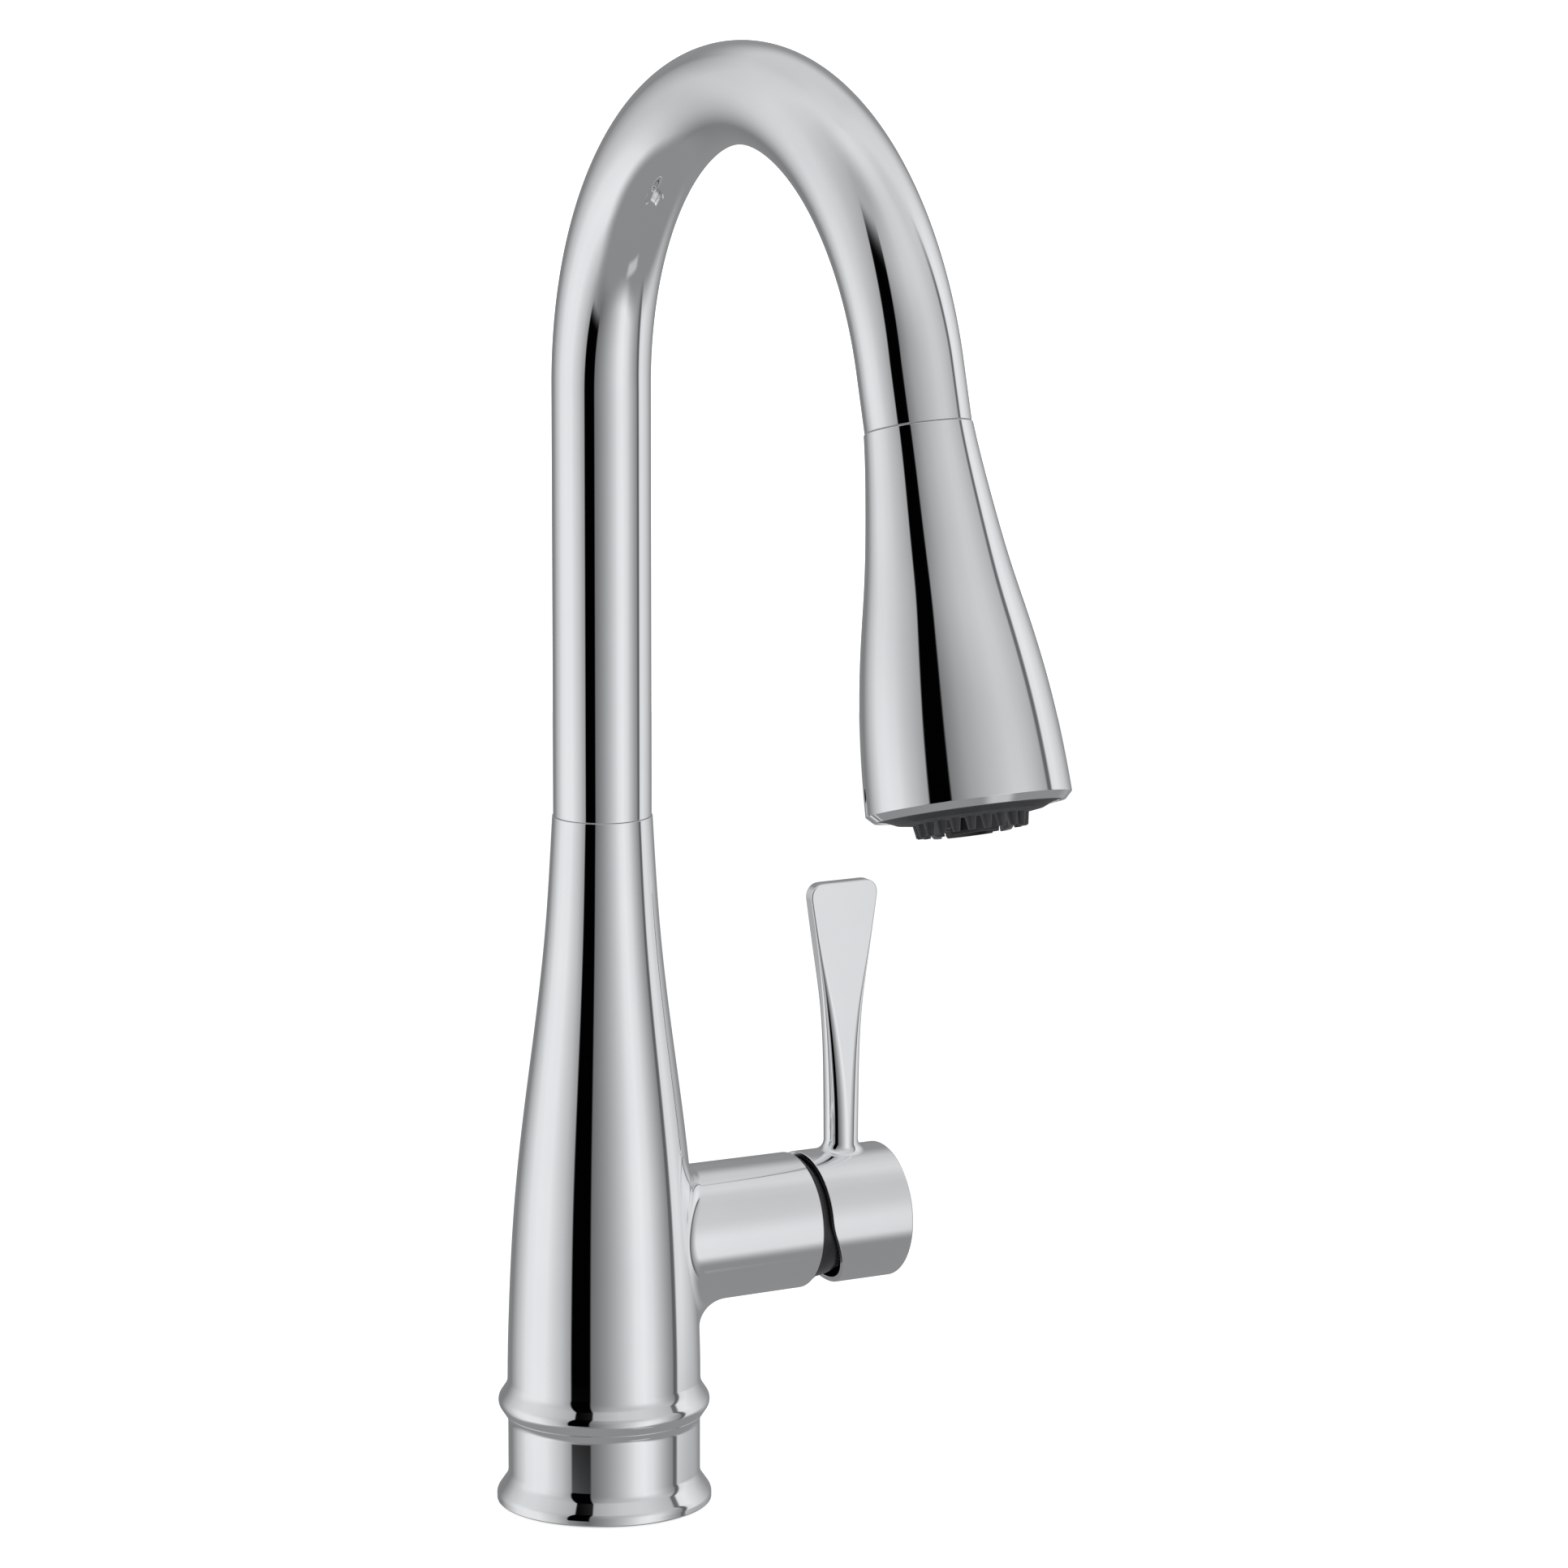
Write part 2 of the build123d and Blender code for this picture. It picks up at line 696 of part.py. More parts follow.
def make_rocker_pin():
    return Pos(0, ROCKER_PIN_Y, -ROCKER_W) * Rot(0, 90, 0) * Cylinder(1.0, 13.4)


def spool_shift():
    """How far the spool stands from the middle when the rocker is at rest."""
    return (ROCKER_PIN_Y - SPOOL_Y) * tan(radians(ROCKER_REST_TILT))


def make_spool():
    """Diverter spool: three lands, two seal grooves and the finger's groove."""
    spool = rod(SPOOL_R - RUNNING, -47.5, -26.5)
    spool -= ring(1.2, 5, -ROCKER_W - 1.05, -ROCKER_W + 1.05)
    for z in (-28.6, -45.6):
        spool -= ring(2.1, 5, z - 0.9, z + 0.9)
    return Pos(0, SPOOL_Y, -spool_shift()) * spool


def make_spool_seals():
    return [Pos(0, SPOOL_Y, -spool_shift()) * o_ring(2.55, 0.42, z) for z in (-28.6, -45.6)]


def make_head_core():
    """Plastic core: docking spigot, waterways, spool bore, rocker bearing and the face's flange."""
    core = turned(
        [
            (0, SPIGOT_LENGTH),
            (SPIGOT_R - 0.8, SPIGOT_LENGTH),
            (SPIGOT_R, SPIGOT_LENGTH - 0.8),
            (SPIGOT_R, 0),
            (11.2, -0.6),
            (11.2, -3.3),
            (10.6, -8),
            (10.6, -56),
            (20.9, -79.5),
            (20.9, -84),
            (0, -84),
        ]
    )
    core -= rod(7.95, -1.0, SPIGOT_LENGTH + 1)
    core -= rod(6.4, -3.4, 0)
    core -= rod(4.2, -17, 0)
    core -= Pos(0, SPOOL_Y, 0) * rod(SPOOL_R, -52, -15.5)
    core -= rod(3.5, -85, -44)
    core -= Pos(4.6, SPOOL_Y, 0) * rod(1.6, -85, -38)
    core -= ring(9.8, 14.4, -85, -82.3)
    core -= bar(0, 12.0, 4.6, 7.0, -85, -82.3)
    core -= ring(17.45, 18.55, -85, -83.1)
    cheeks = bar(-6.9, 6.9, 7.0, ROCKER_PIN_Y + 1.5, -ROCKER_W - 2.4, -ROCKER_W + 2.4)
    core += cheeks - rod(9, -60, 0)
    core -= bar(-5.7, 5.7, SPOOL_Y + SPOOL_R + 0.6, 16, -ROCKER_W - 5, -ROCKER_W + 5)
    core -= bar(-2.4, 2.4, SPOOL_Y, 13, -ROCKER_W - 3.2, -ROCKER_W + 3.2)
    core -= Pos(0, ROCKER_PIN_Y, -ROCKER_W) * Rot(0, 90, 0) * Cylinder(1.02, 30)
    return core


def make_swivel_nut():
    """Threaded nut that turns on the hose's nipple and screws into the core."""
    nut = ring(5.0 + RUNNING, 7.92, 1.15, 10.6)
    for angle in range(0, 360, 60):
        nut -= Rot(0, 0, angle) * bar(7.0, 9, -0.9, 0.9, 8.4, 11)
    return nut


def make_check_valve():
    """One-way cartridge in the core's inlet, with its spider."""
    valve = ring(3.0, 4.15, -15.0, -4.0)
    spider = bar(-3.4, 3.4, -0.5, 0.5, -14.5, -12.5) + bar(-0.5, 0.5, -3.4, 3.4, -14.5, -12.5)
    return valve + spider


def face_profile():
    """Half section of the spray face: flat rim, shallow cone and the nozzle plateau."""
    return [
        (9.85, -84.1),
        (20.8, -84.1),
        (FACE_R - 0.1, -84.9),
        (FACE_R - 0.1, -90.0),
        (19.8, -90.5),
        (17.3, -91.6),
        (13.9, -92.1),
        (9.85, -92.1),
    ]


def make_face_plate():
    face = turned(face_profile(), [0, 0, 0, 0.2, 1.0, 0.8, 0, 0])
    face -= ring(9, 14.6, -86.1, -84)
    for angle in nozzle_angles():
        face -= Rot(0, 0, angle) * Pos(NOZZLE_RING_R, 0, 0) * rod(1.45, -93, -85)
    return face


def nozzle_angles():
    return [360 / NOZZLE_COUNT * i for i in range(NOZZLE_COUNT)]


def make_nozzle_ring():
    """Rubber ring with the conical nozzles that stand through the face."""
    base = ring(9.95, 14.5, -86.05, -84.6)
    for angle in nozzle_angles():
        place = Rot(0, 0, angle) * Pos(NOZZLE_RING_R, 0, 0)
        base += place * rod(1.4, -92.0, -86)
        cone = Cone(0.85, 1.4, 3.2, align=(Align.CENTER, Align.CENTER, Align.MIN))
        base += place * Pos(0, 0, -95.2) * cone
    for angle in nozzle_angles():
        base -= Rot(0, 0, angle) * Pos(NOZZLE_RING_R, 0, 0) * rod(0.4, -96, -84)
    return base


def make_aerator_housing():
    """Black outlet ring with key notches in its rim."""
    housing = turned(
        [(8.3, -84.6), (9.75, -84.6), (9.75, -95.0), (9.2, -95.7), (8.3, -95.7)]
    )
    for angle in (20, 110, 200, 290):
        housing -= Rot(0, 0, angle) * bar(7.5, 11, -1.6, 1.6, -97, -94.0)
    return housing


def make_aerator_insert():
    """Flow former with its ring of jets."""
    insert = rod(8.25, -92.5, -84.7)
    for angle in range(0, 360, 30):
        insert -= Rot(0, 0, angle) * Pos(5.6, 0, 0) * rod(0.7, -94, -84)
    return insert


def make_aerator_screen():
    return rod(8.25, -93.4, -92.9)


def make_docking_collar():
    """Plastic bushing in the outlet that centres the spigot."""
    return turned(
        [
            (SPIGOT_R + 0.1, 0.6),
            (TUBE_R - TUBE_WALL - 0.02, 0.6),
            (TUBE_R - TUBE_WALL - 0.02, 12.5),
            (10.4, 12.5),
            (SPIGOT_R + 0.1, 10.5),
        ]
    )


# ---------------------------------------------------------------- every node
def main():
    washer_top = -DECK_THICKNESS
    nut_top = washer_top - 4.6
    save("base_ring", make_base_ring())
    save("deck_gasket", ring(17.6, 26.2, 0, 1.58))
    save("body_shell", make_body())
    save("shank", make_shank())
    save("rubber_washer", ring(SHANK_R + 0.4, 25.0, washer_top - 3, washer_top))
    save("steel_washer", ring(SHANK_R + 0.4, 26.0, nut_top, washer_top - 3))
    save("mounting_nut", make_mounting_nut(nut_top))
    save("nut_screws", *[make_nut_screw(angle, nut_top) for angle in (0, 120, 240)])
    for side in PORT_ANGLES:
        save(f"{side}_tail", make_tail(side))

    save("neck_tube", make_neck())
    save("neck_stem", make_neck_stem())
    save("retaining_clip", make_retaining_clip())
    save("glide_ring", ring(10.25, 12.6, BODY_TOP_Z + 0.01, BODY_TOP_Z + 0.29))
    save("upper_bushing", ring(10.2 + RUNNING, SPOUT_BORE_R - 0.02, 160, BODY_TOP_Z - 1))
    save("lower_bushing", ring(10.2 + RUNNING, SPOUT_BORE_R - 0.02, SPOUT_BORE_Z + 0.5, 153))
    save("docking_collar", on_outlet(make_docking_collar()))

    save("spray_hose", make_hose())
    save("hose_plug", make_hose_plug())
    save("hose_lead", make_hose_lead())
    save("hose_ferrule", on_outlet(make_ferrule()))

    save("port_seals", *[make_port_seal(side) for side in PORT_ANGLES])
    save("cartridge_base", make_cartridge_base())
    save("fixed_disc", make_fixed_disc())
    save("moving_disc", make_moving_disc())
    save("disc_driver", make_disc_driver())
    save("cartridge_housing", make_cartridge_housing())
    save("housing_o_ring", on_arm(o_ring(13.45, 0.54, 38.0)))
    save("carrier", make_carrier())
    save("carrier_o_ring", on_arm(o_ring(10.02, 0.5, 54.0)))
    save("pivot_pin", make_pivot_pin())
    save("cartridge_stem", make_cartridge_stem())
    save("retaining_nut", make_retaining_nut())
    save("bonnet", make_bonnet())

    save("handle", make_handle())
    save("set_screw", make_set_screw())
    save("screw_plug", make_screw_plug())

    save("spray_shell", on_outlet(make_spray_shell()))
    save("head_core", on_outlet(make_head_core()))
    save("swivel_nut", on_outlet(make_swivel_nut()))
    save("hose_washer", on_outlet(ring(3.2, 6.3, -2.2, -0.7)))
    save("check_valve", on_outlet(make_check_valve()))
    save("mode_rocker", on_outlet(make_mode_rocker()))
    save("rocker_pin", on_outlet(make_rocker_pin()))
    save("diverter_spool", on_outlet(make_spool()))
    save("spool_seals", *[on_outlet(seal) for seal in make_spool_seals()])
    save("face_seal", on_outlet(o_ring(18.0, 0.49, -83.6)))
    save("face_plate", on_outlet(make_face_plate()))
    save("nozzle_ring", on_outlet(make_nozzle_ring()))
    save("aerator_housing", on_outlet(make_aerator_housing()))
    save("aerator_insert", on_outlet(make_aerator_insert()))
    save("aerator_screen", on_outlet(make_aerator_screen()))


main()
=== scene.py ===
import json
import math

import bpy
import numpy as np
from mathutils import Euler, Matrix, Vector


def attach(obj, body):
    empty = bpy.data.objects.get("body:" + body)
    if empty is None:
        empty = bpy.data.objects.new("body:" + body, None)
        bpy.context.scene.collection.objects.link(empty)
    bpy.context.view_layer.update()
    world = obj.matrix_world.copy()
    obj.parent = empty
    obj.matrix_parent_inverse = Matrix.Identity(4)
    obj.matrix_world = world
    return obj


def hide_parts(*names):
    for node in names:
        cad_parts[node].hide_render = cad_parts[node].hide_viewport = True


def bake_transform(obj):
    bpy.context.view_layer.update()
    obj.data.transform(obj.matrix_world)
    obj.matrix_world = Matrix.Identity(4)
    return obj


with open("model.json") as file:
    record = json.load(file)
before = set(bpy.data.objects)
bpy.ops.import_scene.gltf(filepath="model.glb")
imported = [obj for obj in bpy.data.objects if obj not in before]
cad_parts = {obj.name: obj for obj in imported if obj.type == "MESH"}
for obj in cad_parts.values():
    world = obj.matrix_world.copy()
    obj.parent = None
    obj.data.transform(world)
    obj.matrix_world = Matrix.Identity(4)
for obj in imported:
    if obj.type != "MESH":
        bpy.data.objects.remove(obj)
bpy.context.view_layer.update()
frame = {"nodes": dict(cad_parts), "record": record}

MM = 0.001
TAU = 2 * math.pi

# ---------------------------------------------------------------- sizes, in millimetres and degrees
RING_TOP_Z, BEAD_Z, BEAD_R, BEAD_LEAN = 24.0, 27.1, 28.2, 0.66
BELL_FOOT_Z, BELL_HEAD_Z, BODY_TOP_Z = 36.0, 182.35, 182.5
ARM_Z, ARM_END_X = 68.4, 55.9
ARM_ROOT_R, ARM_END_R = 18.13, 18.0
ARM_FILLET, ARM_FILLET_SWING = 6.5, 2.8
DOME_R, DOME_TOP_X = 15.8, 66.3
TUBE_R, TUBE_BORE_R = 12.7, 11.5
ARCH_Z, ARCH_R, ARCH_SWEEP = 293.9, 80.1, 164.0
OUTLET_RUN = 14.8
HOSE_R, LEAD_START, LEAD_END = 6.0, 32.0, 14.0
HEAD_LENGTH, HEAD_MOUTH_DEPTH = 88.7, 80.0
ROCKER_DEPTH = 34.0
PIVOT_X = 59.0
HUB_R, HUB_BORE_R = 17.9, 16.4
HUB_RIM_X, HUB_END_X, HUB_FLOOR_X = 58.85, 83.0, 80.5
HUB_END_EDGE, HUB_RIM_BEVEL = 0.5, 0.22
RIM_LEAN, RIM_BEND_Z, RIM_BEND_R = 22.5, 0.8, 14.0
SCREW_X, SCREW_HOLE_R = 75.6, 3.42
LEVER_X, LEVER_BASE_Z, LEVER_TOP_Z = 70.8, 89.2, 158.4
ROOT_R, ROOT_FILLET = 4.56, 2.6
PADDLE_CORNER, PADDLE_EDGE = 4.2, 0.35


# ---------------------------------------------------------------- mesh building
class Skin:
    """Patches collected into one mesh, each point with its own exact normal."""

    def __init__(self):
        self.points, self.normals, self.faces = [], [], []
        self.count = 0

    def patch(self, points, normals, closed=True):
        """A grid of rows x columns points. closed joins the last column to the first."""
        rows, columns = points.shape[:2]
        index = np.arange(rows * columns).reshape(rows, columns) + self.count
        following = np.roll(index, -1, axis=1) if closed else index[:, 1:]
        current = index if closed else index[:, :-1]
        quads = np.stack([current[:-1], following[:-1], following[1:], current[1:]], -1).reshape(-1, 4)
        flat = points.reshape(-1, 3)
        flat_normals = normals.reshape(-1, 3)
        a, b, c = (flat[quads[:, i] - self.count] for i in (0, 1, 2))
        facing = np.einsum("ij,ij->i", np.cross(b - a, c - a), flat_normals[quads[:, 0] - self.count])
        if facing.sum() < 0:
            quads = quads[:, ::-1]
        self.points.append(flat)
        self.normals.append(flat_normals)
        self.faces.append(quads)
        self.count += len(flat)

    def mesh(self, name, material):
        points = np.concatenate(self.points) * MM
        normals = np.concatenate(self.normals)
        normals = normals / np.linalg.norm(normals, axis=1, keepdims=True)
        mesh = bpy.data.meshes.new(name)
        mesh.from_pydata(points.tolist(), [], np.concatenate(self.faces).tolist())
        mesh.shade_smooth()
        mesh.normals_split_custom_set_from_vertices(normals.tolist())
        mesh.materials.append(material)
        return mesh

    def build(self, name, slot, body, replaced=(), mirrored=True):
        piece = bpy.data.objects.new(name, self.mesh(name, MATERIALS[slot]))
        bpy.context.scene.collection.objects.link(piece)
        piece.visible_glossy = mirrored
        if body:
            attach(piece, body)
        if replaced:
            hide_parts(*replaced)
        return piece


def rounded(points, radii):
    """Outline in (radius, height), traced with its outside on the right, as runs of points and normals."""
    corners = [np.array(p, float) for p in points]
    runs, start = [], corners[0]
    for i in range(1, len(corners)):
        corner = corners[i]
        radius = radii[i] if i < len(corners) - 1 else 0
        into = (corner - start) / np.linalg.norm(corner - start)
        if radius == 0:
            runs.append(straight(start, corner))
            start = corner
            continue
        out = corners[i + 1] - corner
        out = out / np.linalg.norm(out)
        turn = math.atan2(into[0] * out[1] - into[1] * out[0], into @ out)
        back = radius * math.tan(abs(turn) / 2)
        first = corner - into * back
        runs.append(straight(start, first))
        side = 1 if turn > 0 else -1
        centre = first + side * radius * np.array([-into[1], into[0]])
        steps = max(3, int(abs(math.degrees(turn)) / 4) + 2)
        angles = np.linspace(0, turn, steps)
        arm = first - centre
        spoke = np.stack(
            [
                arm[0] * np.cos(angles) - arm[1] * np.sin(angles),
                arm[0] * np.sin(angles) + arm[1] * np.cos(angles),
            ],
            -1,
        )
        runs.append((centre + spoke, side * spoke / radius))
        start = corner + out * back
    return runs


def straight(start, end):
    direction = (end - start) / np.linalg.norm(end - start)
    normal = np.array([direction[1], -direction[0]])
    return np.array([start, end]), np.array([normal, normal])


class Curve:
    """Smooth radius along a height: a cubic spline with given end slopes."""

    def __init__(self, heights, radii, first_slope, last_slope):
        self.x = np.array(heights, float)
        self.y = np.array(radii, float)
        gap = np.diff(self.x)
        slope = np.diff(self.y) / gap
        size = len(self.x)
        matrix = np.zeros((size, size))
        right = np.zeros(size)
        matrix[0, 0] = matrix[-1, -1] = 1
        right[0], right[-1] = first_slope, last_slope
        for i in range(1, size - 1):
            matrix[i, i - 1 : i + 2] = gap[i], 2 * (gap[i - 1] + gap[i]), gap[i - 1]
            right[i] = 3 * (gap[i] * slope[i - 1] + gap[i - 1] * slope[i])
        self.slopes = np.linalg.solve(matrix, right)

    def at(self, x):
        """Radius and slope at a height."""
        x = np.asarray(x, float)
        i = np.clip(np.searchsorted(self.x, x) - 1, 0, len(self.x) - 2)
        gap = self.x[i + 1] - self.x[i]
        t = (x - self.x[i]) / gap
        a, b = self.y[i], self.y[i + 1]
        p, q = self.slopes[i] * gap, self.slopes[i + 1] * gap
        value = a + t * p + t * t * (3 * (b - a) - 2 * p - q) + t**3 * (2 * (a - b) + p + q)
        slope = (p + 2 * t * (3 * (b - a) - 2 * p - q) + 3 * t * t * (2 * (a - b) + p + q)) / gap
        return value, slope


def curve_run(curve, first, last, steps):
    """A run along a Curve, traced upwards where last is above first."""
    heights = np.linspace(first, last, steps)
    radius, slope = curve.at(heights)
    sign = 1 if last > first else -1
    normals = sign * np.stack([np.ones(steps), -slope], -1)
    return np.stack([radius, heights], -1), normals / np.linalg.norm(normals, axis=1, keepdims=True)


def around(run, columns=192):
    """Turns a run about the Z axis into a grid of points and normals."""
    line, normal = run
    angle = np.linspace(0, TAU, columns, endpoint=False)
    c, s = np.cos(angle), np.sin(angle)
    rows = np.ones((len(line), 1))
    points = np.stack([line[:, :1] * c, line[:, :1] * s, line[:, 1:] * np.ones_like(c)], -1)
    normals = np.stack([normal[:, :1] * c, normal[:, :1] * s, normal[:, 1:] * rows * np.ones_like(c)], -1)
    return points, normals


def turned(skin, runs, place=None, columns=192):
    for run in runs:
        points, normals = around(run, columns)
        skin.patch(*(place(points, normals) if place else (points, normals)))


def on_arm(points, normals):
    """From a frame whose Z runs out along the valve arm."""

    def swing(v):
        return np.stack([v[..., 2], v[..., 1], -v[..., 0]], -1)

    return swing(points) + [0, 0, ARM_Z], swing(normals)


OUTLET_TILT = math.radians(180 - ARCH_SWEEP)
OUTLET_DIR = np.array([0, -math.sin(OUTLET_TILT), -math.cos(OUTLET_TILT)])
OUTLET_REAR = np.array([0, math.cos(OUTLET_TILT), -math.sin(OUTLET_TILT)])
ARCH_END = np.array([0, -ARCH_R + ARCH_R * math.cos(math.radians(ARCH_SWEEP)), 0]) + np.array(
    [0, 0, ARCH_Z + ARCH_R * math.sin(math.radians(ARCH_SWEEP))]
)
SEAM = ARCH_END + OUTLET_RUN * OUTLET_DIR


def on_outlet(points, normals):
    """From a frame whose Z runs up the outlet's axis from the seam."""

    def hang(v):
        return v[..., :1] * np.array([1.0, 0, 0]) + v[..., 1:2] * OUTLET_REAR - v[..., 2:] * OUTLET_DIR

    return hang(points) + SEAM, hang(normals)


# ---------------------------------------------------------------- materials
def new_material(name):
    material = bpy.data.materials.new(name)
    material.use_nodes = True
    tree = material.node_tree
    return material, tree, tree.nodes["Principled BSDF"]


def noise(tree, scale, detail=3.0, stretch=(1, 1, 1)):
    """Noise on object coordinates, which are metres."""
    coordinates = tree.nodes.new("ShaderNodeTexCoord")
    mapping = tree.nodes.new("ShaderNodeMapping")
    mapping.inputs["Scale"].default_value = stretch
    texture = tree.nodes.new("ShaderNodeTexNoise")
    texture.inputs["Scale"].default_value = scale
    texture.inputs["Detail"].default_value = detail
    tree.links.new(coordinates.outputs["Object"], mapping.inputs["Vector"])
    tree.links.new(mapping.outputs[0], texture.inputs["Vector"])
    return texture.outputs["Fac"]


def spread(tree, value, low, high, from_low=0.3, from_high=0.7):
    node = tree.nodes.new("ShaderNodeMapRange")
    node.inputs["From Min"].default_value = from_low
    node.inputs["From Max"].default_value = from_high
    node.inputs["To Min"].default_value = low
    node.inputs["To Max"].default_value = high
    tree.links.new(value, node.inputs["Value"])
    return node.outputs[0]


def two_tones(tree, value, dark, light):
    node = tree.nodes.new("ShaderNodeMix")
    node.data_type = "RGBA"
    node.inputs[6].default_value = (*dark, 1)
    node.inputs[7].default_value = (*light, 1)
    tree.links.new(value, node.inputs[0])
    return node.outputs[2]


def bump(tree, height, strength, distance):
    node = tree.nodes.new("ShaderNodeBump")
    node.inputs["Strength"].default_value = strength
    node.inputs["Distance"].default_value = distance
    tree.links.new(height, node.inputs["Height"])
    return node.outputs[0]


def metal(name, dark, light, rough, scale=120.0, grain=None):
    """Bare or plated metal: faint colour drift, roughness that varies, and an optional directional grain."""
    material, tree, shader = new_material(name)
    shader.inputs["Metallic"].default_value = 1.0
    drift = spread(tree, noise(tree, scale), 0, 1)
    tree.links.new(two_tones(tree, drift, dark, light), shader.inputs["Base Color"])
    fine = noise(tree, scale * 6, 4.0)
    tree.links.new(spread(tree, fine, rough[0], rough[1]), shader.inputs["Roughness"])
    if grain:
        lines = noise(tree, 900.0, 2.0, grain)
        tree.links.new(bump(tree, lines, 0.25, 0.00005), shader.inputs["Normal"])
    return material


def moulded(name, dark, light, rough, speckle=1500.0, depth=0.00004, coat=0.0):
    """Moulded plastic or rubber: fine spark texture and faint blotches."""
    material, tree, shader = new_material(name)
    shader.inputs["Coat Weight"].default_value = coat
    blotch = spread(tree, noise(tree, 90.0), 0, 1)
    tree.links.new(two_tones(tree, blotch, dark, light), shader.inputs["Base Color"])
    grain = noise(tree, speckle, 5.0)
    tree.links.new(spread(tree, grain, rough[0], rough[1]), shader.inputs["Roughness"])
    tree.links.new(bump(tree, grain, 0.5, depth), shader.inputs["Normal"])
    return material


def braided(name):
    """Nylon braid: two crossing sets of strands."""
    material, tree, shader = new_material(name)
    coordinates = tree.nodes.new("ShaderNodeTexCoord")
    strands = []
    for lean in (35, -35):
        mapping = tree.nodes.new("ShaderNodeMapping")
        mapping.inputs["Rotation"].default_value = (math.radians(lean), math.radians(lean), 0)
        wave = tree.nodes.new("ShaderNodeTexWave")
        wave.bands_direction = "Z"
        wave.inputs["Scale"].default_value = 260.0
        wave.inputs["Distortion"].default_value = 0.6
        tree.links.new(coordinates.outputs["Object"], mapping.inputs["Vector"])
        tree.links.new(mapping.outputs[0], wave.inputs["Vector"])
        strands.append(wave.outputs["Fac"])
    cross = tree.nodes.new("ShaderNodeMath")
    cross.operation = "MAXIMUM"
    tree.links.new(strands[0], cross.inputs[0])
    tree.links.new(strands[1], cross.inputs[1])
    weave = cross.outputs[0]
    tones = two_tones(tree, weave, (0.10, 0.105, 0.11), (0.36, 0.37, 0.38))
    tree.links.new(tones, shader.inputs["Base Color"])
    tree.links.new(spread(tree, weave, 0.65, 0.42, 0, 1), shader.inputs["Roughness"])
    tree.links.new(bump(tree, weave, 0.8, 0.0002), shader.inputs["Normal"])
    return material


MATERIALS = {
    "chrome": metal("chrome", (0.925, 0.93, 0.935), (0.955, 0.958, 0.962), (0.018, 0.04), 40.0),
    "brass": metal("brass", (0.70, 0.50, 0.22), (0.80, 0.60, 0.30), (0.22, 0.36), 160.0, (1, 1, 12)),
    "copper": metal("copper", (0.72, 0.34, 0.20), (0.84, 0.46, 0.30), (0.20, 0.38), 90.0, (6, 6, 1)),
    "steel": metal("steel", (0.52, 0.53, 0.54), (0.62, 0.63, 0.64), (0.24, 0.38), 200.0, (1, 14, 1)),
    "black_rubber": moulded("black_rubber", (0.012, 0.012, 0.013), (0.028, 0.028, 0.03), (0.6, 0.8)),
    "nozzle_rubber": moulded("nozzle_rubber", (0.030, 0.031, 0.033), (0.052, 0.054, 0.057), (0.42, 0.58)),
    "white_plastic": moulded("white_plastic", (0.70, 0.70, 0.68), (0.80, 0.80, 0.78), (0.34, 0.46)),
    "dark_plastic": moulded("dark_plastic", (0.010, 0.0105, 0.011), (0.022, 0.023, 0.025), (0.40, 0.55)),
    "black_plastic": moulded(
        "black_plastic", (0.008, 0.008, 0.009), (0.018, 0.018, 0.02), (0.24, 0.34), coat=0.1
    ),
    "ceramic": moulded("ceramic", (0.76, 0.76, 0.72), (0.84, 0.84, 0.81), (0.12, 0.2), 700.0, 0.00001, 0.4),
    "hose_braid": braided("hose_braid"),
}


def dress_cad_nodes():
    """Gives every CAD node the material of its slot, and keeps it out of the chrome's reflections.

    Most of these nodes are inside the castings or under the deck, which isn't modelled.
    """
    slots = {part["node"]: part["material_slot"] for part in frame["record"]["subparts"]}
    for name, node in frame["nodes"].items():
        node.data.materials.clear()
        node.data.materials.append(MATERIALS[slots[name]])
        node.visible_glossy = False


# ---------------------------------------------------------------- base and body
def build_base_ring():
    """The ring on the deck: a flared foot, a straight band and the lower half of the bead."""
    flank = BEAD_Z - (BEAD_R - 25.1) / BEAD_LEAN
    points = [
        (26.3, 1.6),
        (26.3, 0.3),
        (28.05, 0.3),
        (28.1, 2.7),
        (25.1, 7.06),
        (25.1, flank),
        (26.154, RING_TOP_Z),
        (22.45, RING_TOP_Z),
        (22.45, 1.6),
        (26.3, 1.6),
    ]
    skin = Skin()
    turned(skin, rounded(points, [0, 0.15, 0.5, 2.8, 4.5, 3.5, 0.12, 0, 0, 0]), columns=256)
    skin.build("base_ring_skin", "chrome", "base", ["base_ring"])


BELL = Curve(
    [BELL_FOOT_Z, 50.0, 80.0, 104.0, 128.0, 152.0, BELL_HEAD_Z],
    [25.2, 24.85, 23.2, 20.68, 17.56, 14.92, 12.96],
    -0.01,
    -0.055,
)


